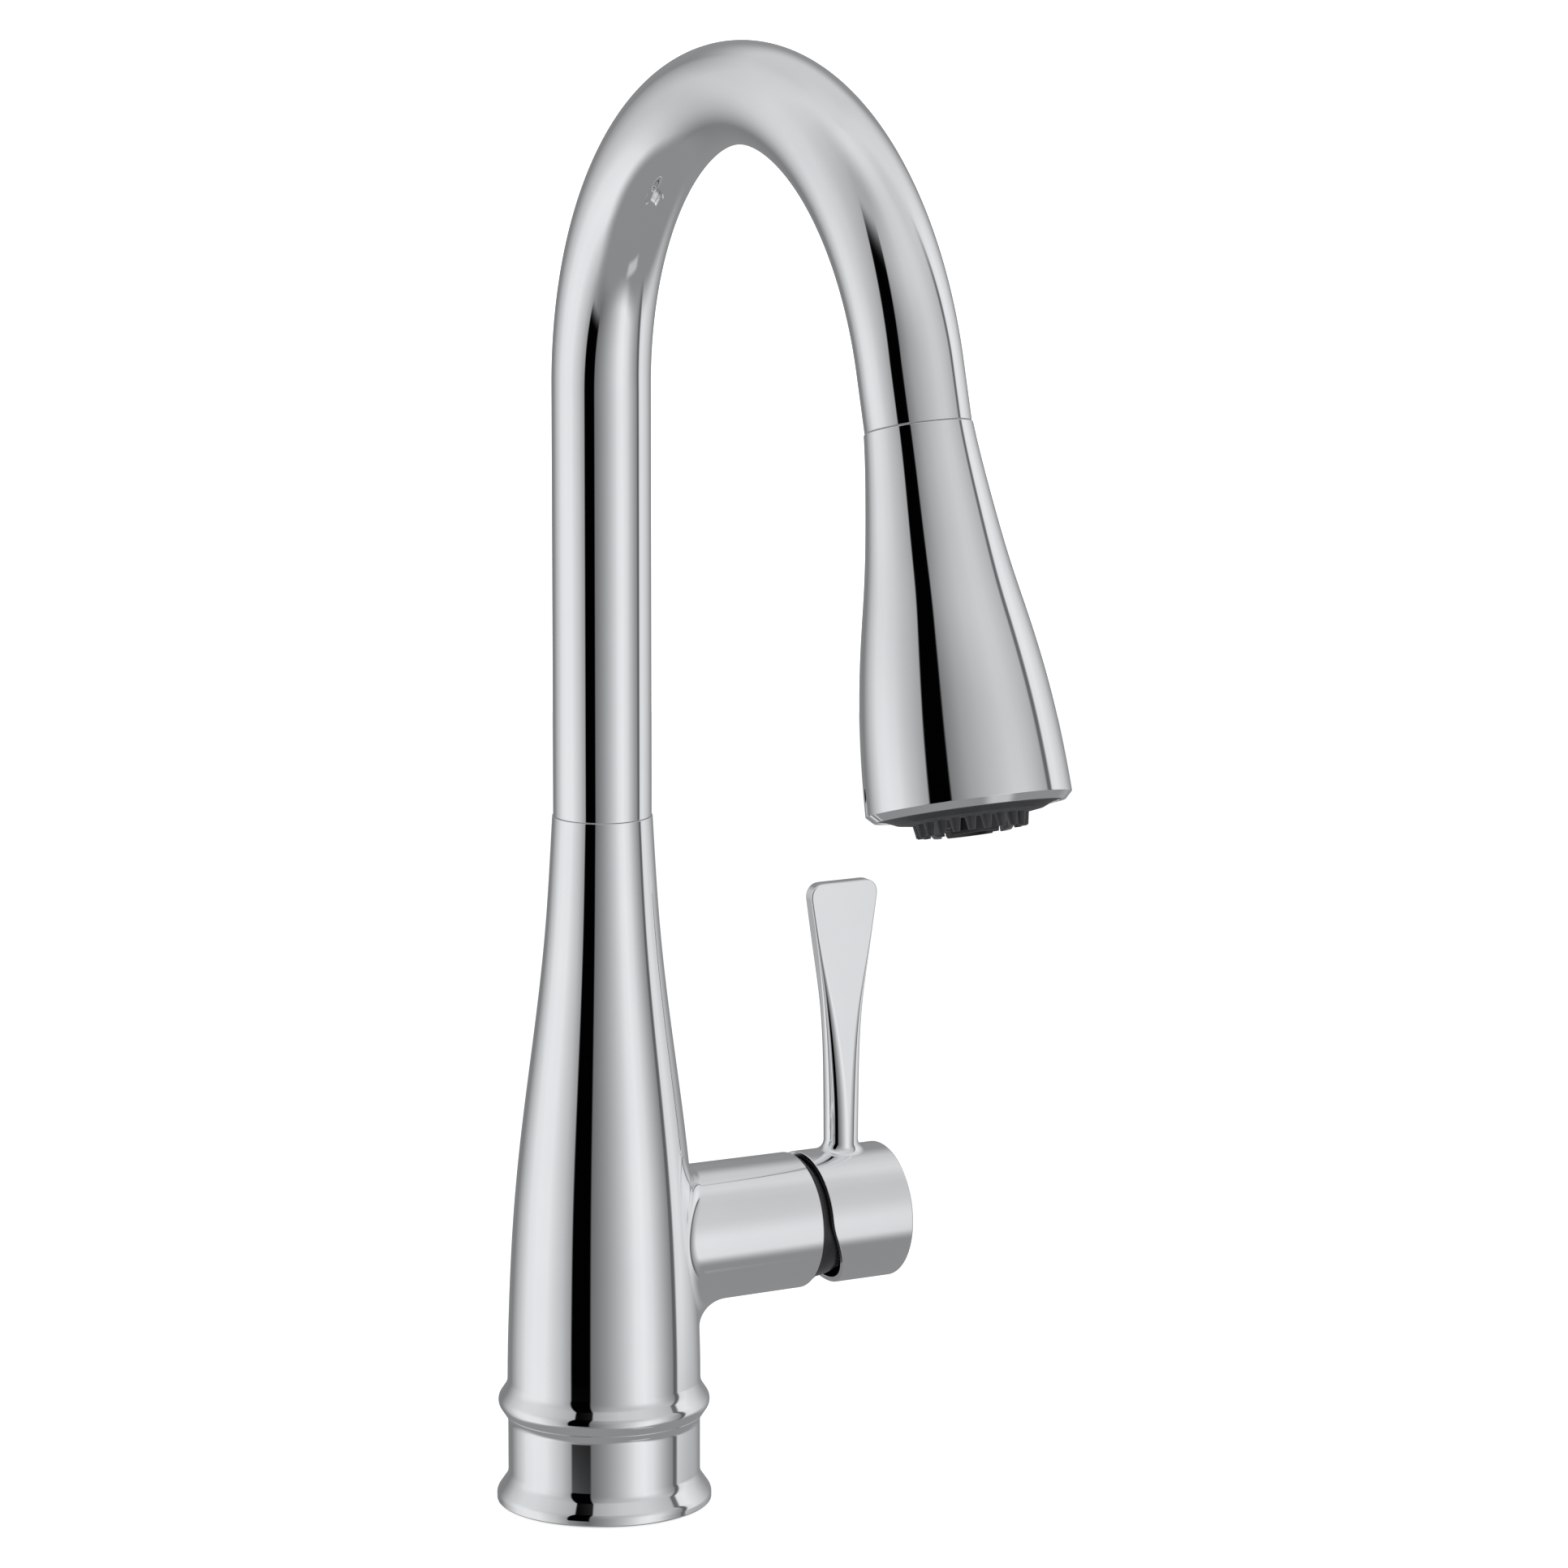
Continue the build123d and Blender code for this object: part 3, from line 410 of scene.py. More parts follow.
def arm_fillet(steps=18, columns=256):
    """Rolls a ball along the corner between bell and arm, small on top of the arm and large under it.

    Returns the strip's points and normals.
    """
    theta = np.linspace(0, TAU, columns, endpoint=False)
    ball = ARM_FILLET - ARM_FILLET_SWING * np.cos(theta)
    reach = ARM_ROOT_R + ball
    y = reach * np.sin(theta)
    z = ARM_Z + reach * np.cos(theta)
    low, high = np.full(columns, 5.0), np.full(columns, 45.0)
    for _ in range(50):
        middle = (low + high) / 2
        _, _, gap = nearest_on_bell(middle, y, z)
        inside = gap < ball
        low = np.where(inside, middle, low)
        high = np.where(inside, high, middle)
    x = (low + high) / 2
    centre = np.stack([x, y, z], -1)
    foot, _, _ = nearest_on_bell(x, y, z)
    to_body = (centre - foot) / ball[:, None]
    to_arm = np.stack([np.zeros(columns), np.sin(theta), np.cos(theta)], -1)
    angle = np.arccos(np.clip((to_body * to_arm).sum(-1), -1, 1))[:, None]
    points, normals = [], []
    for t in np.linspace(0, 1, steps):
        normal = (np.sin((1 - t) * angle) * to_body + np.sin(t * angle) * to_arm) / np.sin(angle)
        points.append(centre - normal * ball[:, None])
        normals.append(normal)
    return np.array(points), np.array(normals)


def nearest_on_bell(x, y, z):
    """Nearest point of the bell to points beside it, its unit normal and the distance."""
    h = np.hypot(x, y)
    foot = z.copy()
    for _ in range(12):
        radius, slope = BELL.at(foot)
        foot = foot + 0.7 * ((h - radius) * slope + (z - foot)) / (1 + slope**2)
    radius, slope = BELL.at(foot)
    point = np.stack([x / h * radius, y / h * radius, foot], -1)
    normal = np.stack([x / h, y / h, -slope], -1)
    normal /= np.linalg.norm(normal, axis=-1, keepdims=True)
    return point, normal, (h - radius) * np.sqrt(1 + slope**2)


def build_body():
    """The casting above the ring: bead, bell and arm, with the fillet between the two."""
    skin = Skin()
    shoulder = BEAD_Z + (BEAD_R - 25.25) / BEAD_LEAN
    seam = RING_TOP_Z + 0.02
    bead = [(22.4, seam), (26.154, seam), (BEAD_R, BEAD_Z), (25.25, shoulder), (25.2, BELL_FOOT_Z)]
    turned(skin, rounded(bead, [0, 0.12, 2.9, 5.0, 0]), columns=256)
    turned(skin, [curve_run(BELL, BELL_FOOT_Z, BELL_HEAD_Z, 240)], columns=256)
    top = [(12.96, BELL_HEAD_Z), (12.93, BODY_TOP_Z), (11.6, BODY_TOP_Z), (11.6, 140.0), (14.5, 130.0)]
    turned(skin, rounded(top, [0, 0.12, 0.12, 0, 0]), columns=128)

    strip, normals = arm_fillet()
    skin.patch(strip, normals)
    edge = strip[-1]
    theta = np.linspace(0, TAU, len(edge), endpoint=False)
    radial = np.stack([np.zeros_like(theta), np.sin(theta), np.cos(theta)], -1)
    round_edge = 0.35
    rows = []
    for t in np.linspace(0, 1, 10):
        x = edge[:, 0] + t * (ARM_END_X - round_edge - edge[:, 0])
        radius = ARM_ROOT_R + (ARM_END_R - ARM_ROOT_R) * t
        rows.append(np.stack([x, radius * radial[:, 1], ARM_Z + radius * radial[:, 2]], -1))
    skin.patch(np.array(rows), np.repeat(radial[None], 10, 0))
    mouth = [(ARM_END_R, ARM_END_X - 0.36), (ARM_END_R, ARM_END_X), (15.3, ARM_END_X)]
    socket = [(15.3, 46.0), (14.05, 46.0), (14.05, 34.0), (0.01, 34.0)]
    turned(skin, rounded(mouth + socket, [0, round_edge, 0.15, 0, 0, 0, 0]), on_arm, 256)
    skin.build("body_casting", "chrome", "base", ["body_shell"])


def build_bonnet():
    """The dome behind the gap, centred on the handle's pivot, with its flange on the arm's end. It is black
    as a plastic cover, and that black also paints the shade that fills the gap.
    """
    polar = np.radians(np.linspace(95.5, 62.45, 30))
    sphere = np.stack([np.sin(polar), np.cos(polar)], -1)
    dome = DOME_R * sphere + [0, PIVOT_X]
    foot = ARM_END_X + 0.06
    skin = Skin()
    flange = [(14.3, foot), (17.0, foot), (17.0, 57.4), (15.75, 57.4), tuple(dome[0])]
    turned(skin, rounded(flange, [0, 0.1, 0.3, 0, 0]), on_arm)
    turned(skin, [(dome, sphere)], on_arm)
    lip = [tuple(dome[-1]), (12.64, DOME_TOP_X), (14.04, 63.0), (14.6, 60.0), (14.3, foot)]
    turned(skin, rounded(lip, [0, 0.25, 3.0, 3.0, 0]), on_arm)
    # black_plastic here is the cover's own black and painted shade for the dark gap between arm and hub.
    skin.build("bonnet_skin", "black_plastic", "base", ["bonnet"])


# ---------------------------------------------------------------- neck and hose
def neck_path(first_z, run, arch_rows):
    """Centres and tangents along the riser, the arch and the straight run at the outlet."""
    centres = [np.array([[0, 0, first_z], [0, 0, ARCH_Z]])]
    tangents = [np.array([[0, 0, 1.0], [0, 0, 1.0]])]
    angle = np.radians(np.linspace(0, ARCH_SWEEP, arch_rows)[1:])
    zero = np.zeros_like(angle)
    centres.append(np.stack([zero, -ARCH_R + ARCH_R * np.cos(angle), ARCH_Z + ARCH_R * np.sin(angle)], -1))
    tangents.append(np.stack([zero, -np.sin(angle), np.cos(angle)], -1))
    centres.append(ARCH_END[None] + run * OUTLET_DIR)
    tangents.append(OUTLET_DIR[None])
    return np.concatenate(centres), np.concatenate(tangents)


def tube(skin, centres, tangents, radius, columns=128, inward=False):
    """Sweeps a circle; radius may vary along the rows."""
    angle = np.linspace(0, TAU, columns, endpoint=False)
    side = np.array([1.0, 0, 0])
    outward = np.cross(side, tangents)
    spokes = np.cos(angle)[None, :, None] * side + np.sin(angle)[None, :, None] * outward[:, None, :]
    radius = np.broadcast_to(np.asarray(radius, float), (len(centres),))[:, None, None]
    skin.patch(centres[:, None, :] + radius * spokes, -spokes if inward else spokes)


def build_neck():
    """The tube from just above the body to the seam, with rounded edges and a bore."""
    skin = Skin()
    bottom = BODY_TOP_Z + 0.12
    lower_edge = [(TUBE_BORE_R, bottom), (TUBE_R, bottom), (TUBE_R, bottom + 1)]
    turned(skin, rounded(lower_edge, [0, 0.12, 0]), columns=128)
    centres, tangents = neck_path(bottom + 1, OUTLET_RUN - 1.3, 260)
    tube(skin, centres, tangents, TUBE_R, 160)
    upper_edge = [(TUBE_R, 1.3), (TUBE_R, 0.3), (TUBE_BORE_R, 0.3), (TUBE_BORE_R, 1.3)]
    turned(skin, [flipped(run) for run in rounded(upper_edge, [0, 0.15, 0.1, 0])], on_outlet, 160)
    centres, tangents = neck_path(bottom, OUTLET_RUN - 0.3, 90)
    tube(skin, centres, tangents, TUBE_BORE_R, 96, inward=True)
    skin.build("neck_tube_skin", "chrome", "spout", ["neck_tube"], mirrored=False)


def flipped(run):
    """The same run with its outside on the left."""
    line, normal = run
    return line, -normal


def build_hose_lead():
    """The stretch of hose that bends and stretches as the head comes out, built here as it lies with the head
    docked.
    """
    first = math.radians(ARCH_SWEEP) - (LEAD_START - OUTLET_RUN) / ARCH_R
    angle = np.linspace(first, math.radians(ARCH_SWEEP), 160)
    zero = np.zeros_like(angle)
    centres = np.stack([zero, -ARCH_R + ARCH_R * np.cos(angle), ARCH_Z + ARCH_R * np.sin(angle)], -1)
    tangents = np.stack([zero, -np.sin(angle), np.cos(angle)], -1)
    run = np.linspace(0.02, OUTLET_RUN - LEAD_END, 8)[:, None] * OUTLET_DIR + ARCH_END
    centres = np.concatenate([centres, run])
    tangents = np.concatenate([tangents, np.repeat(OUTLET_DIR[None], 8, 0)])
    skin = Skin()
    tube(skin, centres, tangents, HOSE_R, 48)
    hose = skin.build("hose_lead_skin", "hose_braid", None)
    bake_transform(hose)
    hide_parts("hose_lead")


# ---------------------------------------------------------------- spray head
HEAD = Curve(
    [-HEAD_LENGTH, -65.0, -47.5, -35.0, -17.0, -0.2],
    [24.3, 22.6, 19.9, 17.5, 14.8, 12.96],
    -0.035,
    -0.075,
)
HEAD_INSIDE = Curve(
    [-HEAD_MOUTH_DEPTH, -65.0, -47.5, -35.0, -17.0, -3.2],
    [21.9, 20.6, 17.9, 15.4, 12.8, 11.3],
    -0.09,
    -0.1,
)


def lifted(curve, x, z, sign):
    """Lifts flat (x, z) onto the +Y side of a surface turned about Z.

    sign is 1 for the wall's outside and -1 for its inside.
    """
    radius, slope = curve.at(z)
    y = np.sqrt(radius**2 - x**2)
    return np.stack([x, y, z], -1), sign * np.stack([x / radius, y / radius, -slope], -1)


def pierced_wall(skin, curve, span, hole, frame_box, sign, rows, place):
    """A wall turned about Z with one hole in its +Y side.

    frame_box is (half width, low, high) around the hole.
    """
    bottom, top = span
    half, low, high = frame_box
    heights = np.linspace(bottom, top, rows)
    radius, slope = curve.at(heights)
    start = np.arcsin(half / radius)[:, None]
    columns = 220
    angle = start + np.linspace(0, 1, columns)[None, :] * (TAU - 2 * start)
    s, c = np.sin(angle), np.cos(angle)
    z = np.repeat(heights[:, None], columns, 1)
    points = np.stack([radius[:, None] * s, radius[:, None] * c, z], -1)
    normals = sign * np.stack([s, c, -slope[:, None] + 0 * s], -1)
    skin.patch(*place(points, normals), closed=False)

    for first, last in ((bottom, low), (high, top)):
        z, x = np.meshgrid(np.linspace(first, last, 40), np.linspace(-half, half, 40), indexing="ij")
        skin.patch(*place(*lifted(curve, x, z, sign)), closed=False)

    middle = np.array([0, (low + high) / 2])
    reach = hole - middle
    scale = 1 / np.maximum(np.abs(reach[:, 0]) / half, np.abs(reach[:, 1]) / ((high - low) / 2))
    border = middle + reach * scale[:, None]
    for corner in ((half, low), (half, high), (-half, high), (-half, low)):
        border[np.argmin(np.linalg.norm(border - corner, axis=1))] = corner
    flat = hole + np.linspace(0, 1, 14)[:, None, None] * (border - hole)
    skin.patch(*place(*lifted(curve, flat[..., 0], flat[..., 1], sign)))


def hole_wall(skin, hole, outer, inner, place):
    """The cut sides of a hole, between two lifted copies of its outline."""
    ahead = np.roll(hole, -1, 0) - np.roll(hole, 1, 0)
    inward = np.stack([-ahead[:, 1], 0 * ahead[:, 0], ahead[:, 0]], -1)
    skin.patch(*place(np.array([outer, inner]), np.array([inward, inward])))


def slot_outline(half_width, half_length, corner, middle, count=260):
    """Closed outline of an upright slot with round corners, evenly spaced and anticlockwise."""
    corners = []
    for cx, cz, start in ((1, -1, -90), (1, 1, 0), (-1, 1, 90), (-1, -1, 180)):
        angle = np.radians(np.linspace(start, start + 90, 25))
        x = cx * (half_width - corner) + corner * np.cos(angle)
        z = cz * (half_length - corner) + corner * np.sin(angle)
        corners.append(np.stack([x, z], -1))
    outline = np.concatenate(corners + [corners[0][:1]])
    length = np.concatenate([[0], np.cumsum(np.linalg.norm(np.diff(outline, axis=0), axis=1))])
    places = np.linspace(0, length[-1], count, endpoint=False)
    return np.stack([np.interp(places, length, outline[:, k]) for k in (0, 1)], -1) + [0, middle]


def build_spray_shell():
    """The head's shell from the seam to its chamfered rim, with the rocker's slot at the back."""
    skin = Skin()
    hole = slot_outline(5.75, 13.0, 5.0, -ROCKER_DEPTH)
    window = (8.0, -53.0, -15.0)
    low, high = -HEAD_LENGTH + 0.2, -0.2
    pierced_wall(skin, HEAD, (low, high), hole, window, 1, 220, on_outlet)
    pierced_wall(skin, HEAD_INSIDE, (-HEAD_MOUTH_DEPTH, -3.2), hole, window, -1, 60, on_outlet)
    outer, _ = lifted(HEAD, hole[:, 0], hole[:, 1], 1)
    inner, _ = lifted(HEAD_INSIDE, hole[:, 0], hole[:, 1], 1)
    hole_wall(skin, hole, outer, inner, on_outlet)

    inside = float(HEAD_INSIDE.at(-HEAD_MOUTH_DEPTH)[0])
    outside = float(HEAD.at(low)[0])
    rim = [(inside, -HEAD_MOUTH_DEPTH), (21.9, -90.4), (22.6, -90.4), (24.3, -HEAD_LENGTH), (outside, low)]
    turned(skin, rounded(rim, [0, 0.1, 0.12, 0.15, 0]), on_outlet, 256)
    seam = [(12.96, high), (12.95, 0.0), (11.3, 0.0), (11.3, -3.2)]
    turned(skin, rounded(seam, [0, 0.15, 0.1, 0]), on_outlet, 160)
    skin.build("spray_shell_skin", "chrome", "spray_head", ["spray_shell"], mirrored=False)


# ---------------------------------------------------------------- handle
LEVER_HEIGHTS = [LEVER_BASE_Z, 98.0, 112.0, 125.0, 140.0, 160.4]
LEVER_WIDTH = Curve(LEVER_HEIGHTS, [9.12, 9.2, 9.9, 11.6, 15.5, 21.6], 0.0, 0.3)
LEVER_DEPTH = Curve(LEVER_HEIGHTS, [9.12, 8.9, 7.2, 5.4, 4.2, 3.5], 0.0, -0.03)
LEVER_CORNER = Curve(LEVER_HEIGHTS, [4.54, 4.3, 3.4, 2.2, 0.85, 0.5], -0.02, 0.0)


def rim_x(height):
    """Where the hub's rim stands along the arm, by height above its axis: upright, then slanted back."""
    lean = math.radians(RIM_LEAN)
    half = RIM_BEND_R * math.tan(lean / 2)
    drop = RIM_BEND_Z - height
    arc = drop + half
    arc_end = half * (1 + math.cos(lean))
    along_arc = RIM_BEND_R - np.sqrt(np.maximum(RIM_BEND_R**2 - np.clip(arc, 0, None) ** 2, 0))
    back = np.where(arc <= 0, 0, np.where(arc < arc_end, along_arc, math.tan(lean) * drop))
    return HUB_RIM_X + back


def under_arm(points, normals):
    """From a frame whose Z runs out along the valve arm and whose Y points down."""

    def swing(v):
        return np.stack([v[..., 2], v[..., 0], -v[..., 1]], -1)

    return swing(points) + [0, 0, ARM_Z], swing(normals)


def build_hub(skin):
    """The cup on the arm's end: slanted rim, round side with the screw's hole, flat end and hollow inside."""
    theta = np.linspace(0, TAU, 256, endpoint=False)
    radial = np.stack([0 * theta, np.sin(theta), np.cos(theta)], -1)

    def rim(radius, offset):
        height = radius * np.cos(theta)
        return np.stack([rim_x(height) + offset, radius * radial[:, 1], ARM_Z + height], -1)

    def circle(radius, x):
        return np.stack([0 * theta + x, radius * radial[:, 1], ARM_Z + radius * radial[:, 2]], -1)

    edge = rim(HUB_R, HUB_RIM_BEVEL)
    split_x, round_x = 71.0, HUB_END_X - HUB_END_EDGE
    rows = [edge + t * (circle(HUB_R, split_x) - edge) for t in np.linspace(0, 1, 12)]
    skin.patch(np.array(rows), np.repeat(radial[None], 12, 0))
    side = Curve([split_x, round_x], [HUB_R, HUB_R], 0, 0)
    turn = np.linspace(0, TAU, 120, endpoint=False)
    hole = np.stack([SCREW_HOLE_R * np.cos(turn), SCREW_X + SCREW_HOLE_R * np.sin(turn)], -1)
    pierced_wall(skin, side, (split_x, round_x), hole, (4.6, 71.4, 80.0), 1, 10, under_arm)
    outer, _ = lifted(side, hole[:, 0], hole[:, 1], 1)
    hole_wall(skin, hole, outer, outer - [0, 2.6, 0], under_arm)

    height = HUB_R * np.cos(theta)
    slope = (rim_x(height + 0.05) - rim_x(height - 0.05)) / 0.1
    face = np.stack([-np.ones_like(slope), 0 * slope, slope], -1)
    face /= np.linalg.norm(face, axis=1, keepdims=True)
    outer, inner = rim(HUB_R - HUB_RIM_BEVEL, 0), rim(HUB_BORE_R + HUB_RIM_BEVEL, 0)
    skin.patch(np.array([edge, outer]), np.array([radial, face]))
    skin.patch(np.array([outer, inner]), np.array([face, face]))
    bore = rim(HUB_BORE_R, HUB_RIM_BEVEL)
    skin.patch(np.array([inner, bore]), np.array([face, -radial]))
    skin.patch(np.array([bore, circle(HUB_BORE_R, HUB_FLOOR_X)]), np.array([-radial, -radial]))
    end = [(HUB_R, round_x), (HUB_R, HUB_END_X), (0.01, HUB_END_X)]
    turned(skin, rounded(end, [0, HUB_END_EDGE, 0]), on_arm, 256)
    inside = [(HUB_BORE_R, HUB_FLOOR_X), (7.6, HUB_FLOOR_X), (7.6, 72.0), (3.4, 72.0)]
    turned(skin, [flipped(run) for run in rounded(inside, [0, 0.5, 0.2, 0])], on_arm, 64)


def build_lever_root(skin):
    """Rolls a ball around the stem's foot on the hub, then carries the round stem up to the lever."""
    phi = np.linspace(0, TAU, 144, endpoint=False)
    out = np.stack([np.cos(phi), np.sin(phi), 0 * phi], -1)
    centre = out * (ROOT_R + ROOT_FILLET)
    across = centre[:, 1]
    centre = centre + [LEVER_X, 0, 0]
    centre[:, 2] = ARM_Z + np.sqrt((HUB_R + ROOT_FILLET) ** 2 - across**2)
    up = np.stack([0 * phi, centre[:, 1], centre[:, 2] - ARM_Z], -1) / (HUB_R + ROOT_FILLET)
    angle = np.arccos((out * up).sum(-1))[:, None]
    points, normals = [], []
    for t in np.linspace(0, 1, 14):
        normal = (np.sin((1 - t) * angle) * up + np.sin(t * angle) * out) / np.sin(angle)
        points.append(centre - ROOT_FILLET * normal)
        normals.append(normal)
    skin.patch(np.array(points), np.array(normals))
    top = points[-1].copy()
    top[:, 2] = LEVER_BASE_Z
    skin.patch(np.array([points[-1], top]), np.array([out, out]))


def cut_back(z, radius):
    """How far the lever's top edge of this radius stands back at a height, and how fast that grows."""
    rise = np.clip(z - (LEVER_TOP_Z - radius), 0, radius * 0.9999)
    root = np.sqrt(radius**2 - rise**2)
    return radius - root, rise / root


def lever_half(z):
    """Half width, half depth and corner radius of the lever at a height, each with its slope."""
    width, width_slope = LEVER_WIDTH.at(z)
    depth, depth_slope = LEVER_DEPTH.at(z)
    corner, corner_slope = LEVER_CORNER.at(z)
    side, side_slope = cut_back(z, PADDLE_CORNER)
    edge, edge_slope = cut_back(z, PADDLE_EDGE)
    half_depth = depth / 2 - edge
    corner = np.minimum(corner, half_depth - 0.02)
    half_width = width / 2 - side
    width_slope = width_slope / 2 - side_slope
    depth_slope = depth_slope / 2 - edge_slope
    return (half_width, width_slope), (half_depth, depth_slope), (corner, corner_slope)


def build_lever(skin):
    """The lever: round at the stem, widening and thinning to the flat paddle with its rounded top corners."""
    lower = np.linspace(LEVER_BASE_Z, LEVER_TOP_Z - PADDLE_CORNER, 90)
    bend = LEVER_TOP_Z - PADDLE_CORNER * (1 - np.sin(np.radians(np.linspace(2, 66, 26))))
    edge = LEVER_TOP_Z - PADDLE_EDGE * (1 - np.sin(np.radians(np.linspace(0, 89, 16))))
    z = np.concatenate([lower, bend, edge])[:, None]
    (x, dx), (y, dy), (r, dr) = lever_half(z)
    columns = []
    for cx, cy, start in ((1, -1, -90), (1, 1, 0), (-1, 1, 90), (-1, -1, 180)):
        phi = np.radians(np.linspace(start, start + 90, 12))[None, :]
        c, s = np.cos(phi), np.sin(phi)
        px, py = cx * (x - r) + r * c, cy * (y - r) + r * s
        climb = (cx * (dx - dr) + dr * c) * c + (cy * (dy - dr) + dr * s) * s
        corner = np.stack([LEVER_X + px, py, z + 0 * px], -1)
        columns.append((corner, np.stack([c + 0 * px, s + 0 * px, -climb], -1)))
    points = np.concatenate([p for p, _ in columns], 1)
    normals = np.concatenate([n for _, n in columns], 1)
    skin.patch(points, normals)
    last = points[-1]
    line = last * [1, 0.02, 1]
    up = np.zeros_like(last) + [0, 0, 1.0]
    skin.patch(np.array([last, line]), np.array([up, up]))


def build_handle():
    skin = Skin()
    build_hub(skin)
    build_lever_root(skin)
    build_lever(skin)
    skin.build("handle_skin", "chrome", "handle", ["handle"])


# ---------------------------------------------------------------- studio
# A round tent of soft panels. Seen from the object, the camera stands at azimuth 0 and azimuth grows towards
# the camera's right. Each row is an azimuth, the panels' tone a little below eye level, well above it and
# near the top, and the elevation of their lower edge.
STUDIO = [
    (-180, 0.54, 0.57, 0.80, -34),
    (-150, 0.50, 0.53, 0.79, -34),
    (-144, 0.50, 0.62, 0.79, -38),
    (-125, 0.72, 0.79, 0.82, -42),
    (-105, 0.89, 0.85, 0.84, -42),
    (-90, 0.92, 0.85, 0.82, -42),
    (-72, 0.91, 0.81, 0.77, -42),
    (-50, 0.75, 0.71, 0.71, -40),
    (-38, 0.60, 0.64, 0.67, -38),
    (-26, 0.50, 0.56, 0.66, -36),
    (-14, 0.43, 0.48, 0.66, -34),
    (5, 0.58, 0.63, 0.72, -38),
    (25, 0.76, 0.72, 0.80, -42),
    (40, 0.90, 0.77, 0.82, -42),
    (50, 0.93, 0.80, 0.83, -40),
    (62, 0.87, 0.80, 0.82, -34),
    (75, 0.72, 0.76, 0.79, -30),
    (91, 0.53, 0.70, 0.80, -30),
    (93, 0.36, 0.40, 0.81, -30),
    (97, 0.40, 0.42, 0.82, -28),
    (100, 0.86, 0.90, 0.83, -26),
    (110, 0.88, 0.92, 0.85, -24),
    (130, 0.78, 0.84, 0.84, -24),
    (148, 0.63, 0.68, 0.80, -28),
    (156, 0.56, 0.56, 0.80, -34),
    (180, 0.54, 0.57, 0.80, -34),
]
# The dark upright gap between two panels, as its first and last azimuth.
STRIP = (-37.4, -14.4)
STRIP_TONE = 0.03
# Below the panels' lower edge, and a lighter patch in it.
FLOOR_TONE = 0.55
STREAK_TONE = 0.75
# The tent's radius and the height of its centre, in metres.
TENT_R = 1.2
TENT_Z = 0.2


class Graph:
    """Short names for building the tent's nodes. A value is a number or an output socket."""

    def __init__(self, tree):
        self.tree = tree

    def feed(self, socket, value):
        if isinstance(value, (int, float)):
            socket.default_value = value
        else:
            self.tree.links.new(value, socket)

    def math(self, operation, a, b=0.0, c=0.0):
        node = self.tree.nodes.new("ShaderNodeMath")
        node.operation = operation
        for socket, value in zip(node.inputs, (a, b, c)):
            self.feed(socket, value)
        return node.outputs[0]

    def smooth(self, value, low, high):
        node = self.tree.nodes.new("ShaderNodeMapRange")
        node.interpolation_type = "SMOOTHSTEP"
        self.feed(node.inputs["Value"], value)
        self.feed(node.inputs["From Min"], low)
        self.feed(node.inputs["From Max"], high)
        return node.outputs[0]

    def below(self, value, low, high):
        return self.math("SUBTRACT", 1.0, self.smooth(value, low, high))

    def window(self, value, low, high, soft):
        inside = self.smooth(value, low - soft, low + soft)
        return self.math("MULTIPLY", inside, self.below(value, high - soft, high + soft))

    def mix(self, factor, a, b):
        node = self.tree.nodes.new("ShaderNodeMix")
        node.data_type = "FLOAT"
        for socket, value in zip((node.inputs[0], node.inputs[2], node.inputs[3]), (factor, a, b)):
            self.feed(socket, value)
        return node.outputs[0]

    def around(self, place, stops):
        """One value along the azimuth."""
        node = self.tree.nodes.new("ShaderNodeValToRGB")
        elements = node.color_ramp.elements
        elements.remove(elements[-1])
        for i, (azimuth, value) in enumerate(stops):
            position = (azimuth + 180) / 360
            element = elements[0] if i == 0 else elements.new(position)
            element.position = position
            element.color = (value, value, value, 1)
        self.feed(node.inputs[0], place)
        return node.outputs[0]


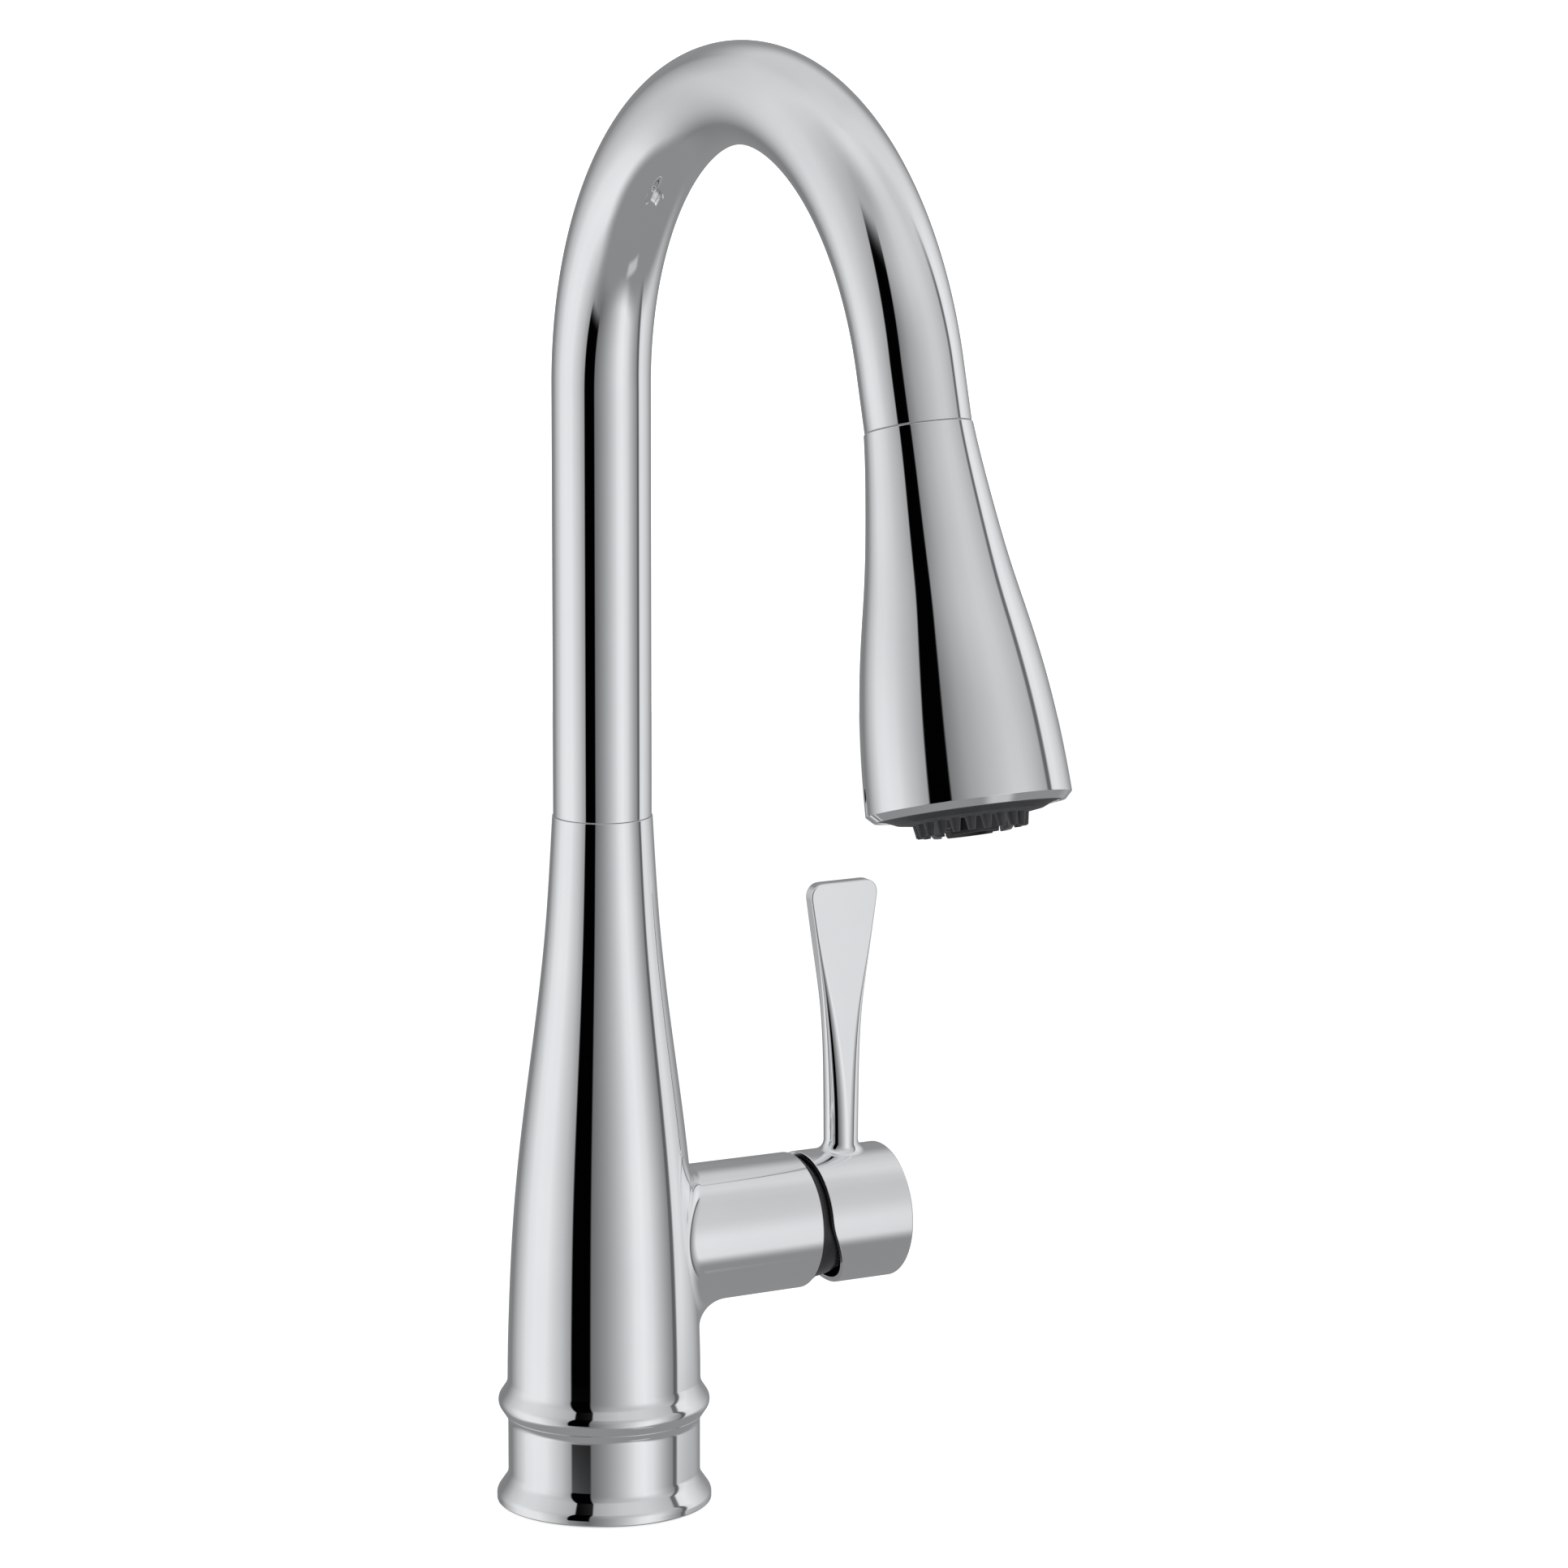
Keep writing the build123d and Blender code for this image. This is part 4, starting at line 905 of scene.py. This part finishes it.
def tent_material():
    """Glowing panels by direction: STUDIO's tones, the dark upright strip, and the floor below their edge."""
    material = bpy.data.materials.new("tent")
    material.use_nodes = True
    tree = material.node_tree
    tree.nodes.clear()
    g = Graph(tree)

    coordinates = tree.nodes.new("ShaderNodeTexCoord")
    toward = tree.nodes.new("ShaderNodeVectorMath")
    toward.operation = "NORMALIZE"
    tree.links.new(coordinates.outputs["Object"], toward.inputs[0])
    parts = tree.nodes.new("ShaderNodeSeparateXYZ")
    tree.links.new(toward.outputs[0], parts.inputs[0])
    x, y, z = parts.outputs
    degrees = 180 / math.pi
    elevation = g.math("MULTIPLY", g.math("ARCSINE", z), degrees)
    azimuth = g.math("MULTIPLY", g.math("ARCTAN2", y, x), degrees)
    backward = g.math("MULTIPLY", g.math("COSINE", g.math("RADIANS", azimuth)), -1.0)

    place = g.math("MULTIPLY_ADD", azimuth, 1 / 360, 0.5)
    low, high, top = (g.around(place, [(row[0], row[k]) for row in STUDIO]) for k in (1, 2, 3))
    tone = g.mix(g.smooth(elevation, -8, 24), low, high)

    standing = g.math("MULTIPLY", g.smooth(elevation, -29, -21), g.below(elevation, 40, 58))
    strip = g.math("MULTIPLY", g.window(azimuth, STRIP[0], STRIP[1], 1.4), standing)
    tone = g.mix(strip, tone, STRIP_TONE)
    tone = g.mix(g.smooth(elevation, 26, 50), tone, g.mix(strip, top, STRIP_TONE))
    zenith = g.math("MULTIPLY_ADD", backward, -0.02, 0.85)
    tone = g.mix(g.smooth(elevation, 62, 84), tone, zenith)

    deepest = 60.0
    depth = g.around(place, [(row[0], -row[4] / deepest) for row in STUDIO])
    edge = g.math("MULTIPLY", depth, -deepest)
    floor = g.below(elevation, g.math("SUBTRACT", edge, 11.0), g.math("ADD", edge, 7.0))
    tone = g.mix(floor, tone, FLOOR_TONE)
    streak = g.math("MULTIPLY", g.window(azimuth, 40, 70, 6), g.window(elevation, -57, -50, 2))
    tone = g.mix(streak, tone, STREAK_TONE)

    display_gamma = 2.2
    light = g.math("POWER", tone, display_gamma)
    tint = tree.nodes.new("ShaderNodeCombineColor")
    for socket, share in zip(tint.inputs, (0.985, 1.0, 1.02)):
        tree.links.new(g.math("MULTIPLY", light, share), socket)
    glow = tree.nodes.new("ShaderNodeEmission")
    tree.links.new(tint.outputs[0], glow.inputs["Color"])
    output = tree.nodes.new("ShaderNodeOutputMaterial")
    tree.links.new(glow.outputs[0], output.inputs["Surface"])
    return material


def build_tent():
    """The tent's walls light the object and are mirrored in it, and the camera looks through them."""
    skin = Skin()
    polar = np.radians(np.linspace(0.01, 179.99, 97))
    line = np.stack([np.sin(polar), np.cos(polar)], -1)
    points, normals = around((line * TENT_R / MM, -line), 192)
    skin.patch(points, normals)
    mesh = skin.mesh("tent", tent_material())
    tent = bpy.data.objects.new("tent", mesh)
    bpy.context.scene.collection.objects.link(tent)
    tent.location = (0, 0, TENT_Z)
    tent.rotation_euler = (0, 0, math.atan2(-CAMERA_AIM.y, -CAMERA_AIM.x))
    tent.visible_camera = False
    tent.visible_shadow = False

    world = bpy.data.worlds.new("backdrop")
    bpy.context.scene.world = world
    world.use_nodes = True
    world.node_tree.nodes["Background"].inputs["Color"].default_value = (1, 1, 1, 1)


# ---------------------------------------------------------------- camera and floor
# Place and direction are in metres, and the lens in millimetres.
CAMERA_AT = Vector((-0.7899, -1.5255, 0.5134))
CAMERA_AIM = Vector((0.47548, 0.86012, -0.18471))
CAMERA_ROLL = math.radians(0.121)
LENS = 155.95


def build_camera():
    """Stands in front, to the left and a little above, and looks slightly down."""
    data = bpy.data.cameras.new("camera")
    data.lens = LENS
    data.sensor_width = 36
    data.clip_end = 100
    camera = bpy.data.objects.new("camera", data)
    bpy.context.scene.collection.objects.link(camera)
    camera.rotation_mode = "QUATERNION"
    aim = CAMERA_AIM.to_track_quat("-Z", "Y")
    camera.rotation_quaternion = aim @ Euler((0, 0, CAMERA_ROLL)).to_quaternion()
    camera.location = CAMERA_AT
    bpy.context.scene.camera = camera


def build_floor():
    """A pale floor with a glow of its own, so that it stays as pale as the backdrop."""
    half = 30.0
    mesh = bpy.data.meshes.new("floor")
    corners = [(-half, -half, 0), (half, -half, 0), (half, half, 0), (-half, half, 0)]
    mesh.from_pydata(corners, [], [(0, 1, 2, 3)])
    floor = bpy.data.objects.new("floor", mesh)
    bpy.context.scene.collection.objects.link(floor)
    floor.visible_glossy = False
    material, _, shader = new_material("floor")
    shader.inputs["Base Color"].default_value = (0.9, 0.9, 0.9, 1)
    shader.inputs["Roughness"].default_value = 1.0
    shader.inputs["Specular IOR Level"].default_value = 0.0
    shader.inputs["Emission Color"].default_value = (1, 1, 1, 1)
    shader.inputs["Emission Strength"].default_value = 0.7
    mesh.materials.append(material)


build_tent()
build_camera()
build_floor()
bpy.context.scene.view_settings.view_transform = "Standard"

dress_cad_nodes()
build_base_ring()
build_body()
build_bonnet()
build_neck()
build_hose_lead()
build_spray_shell()
build_handle()
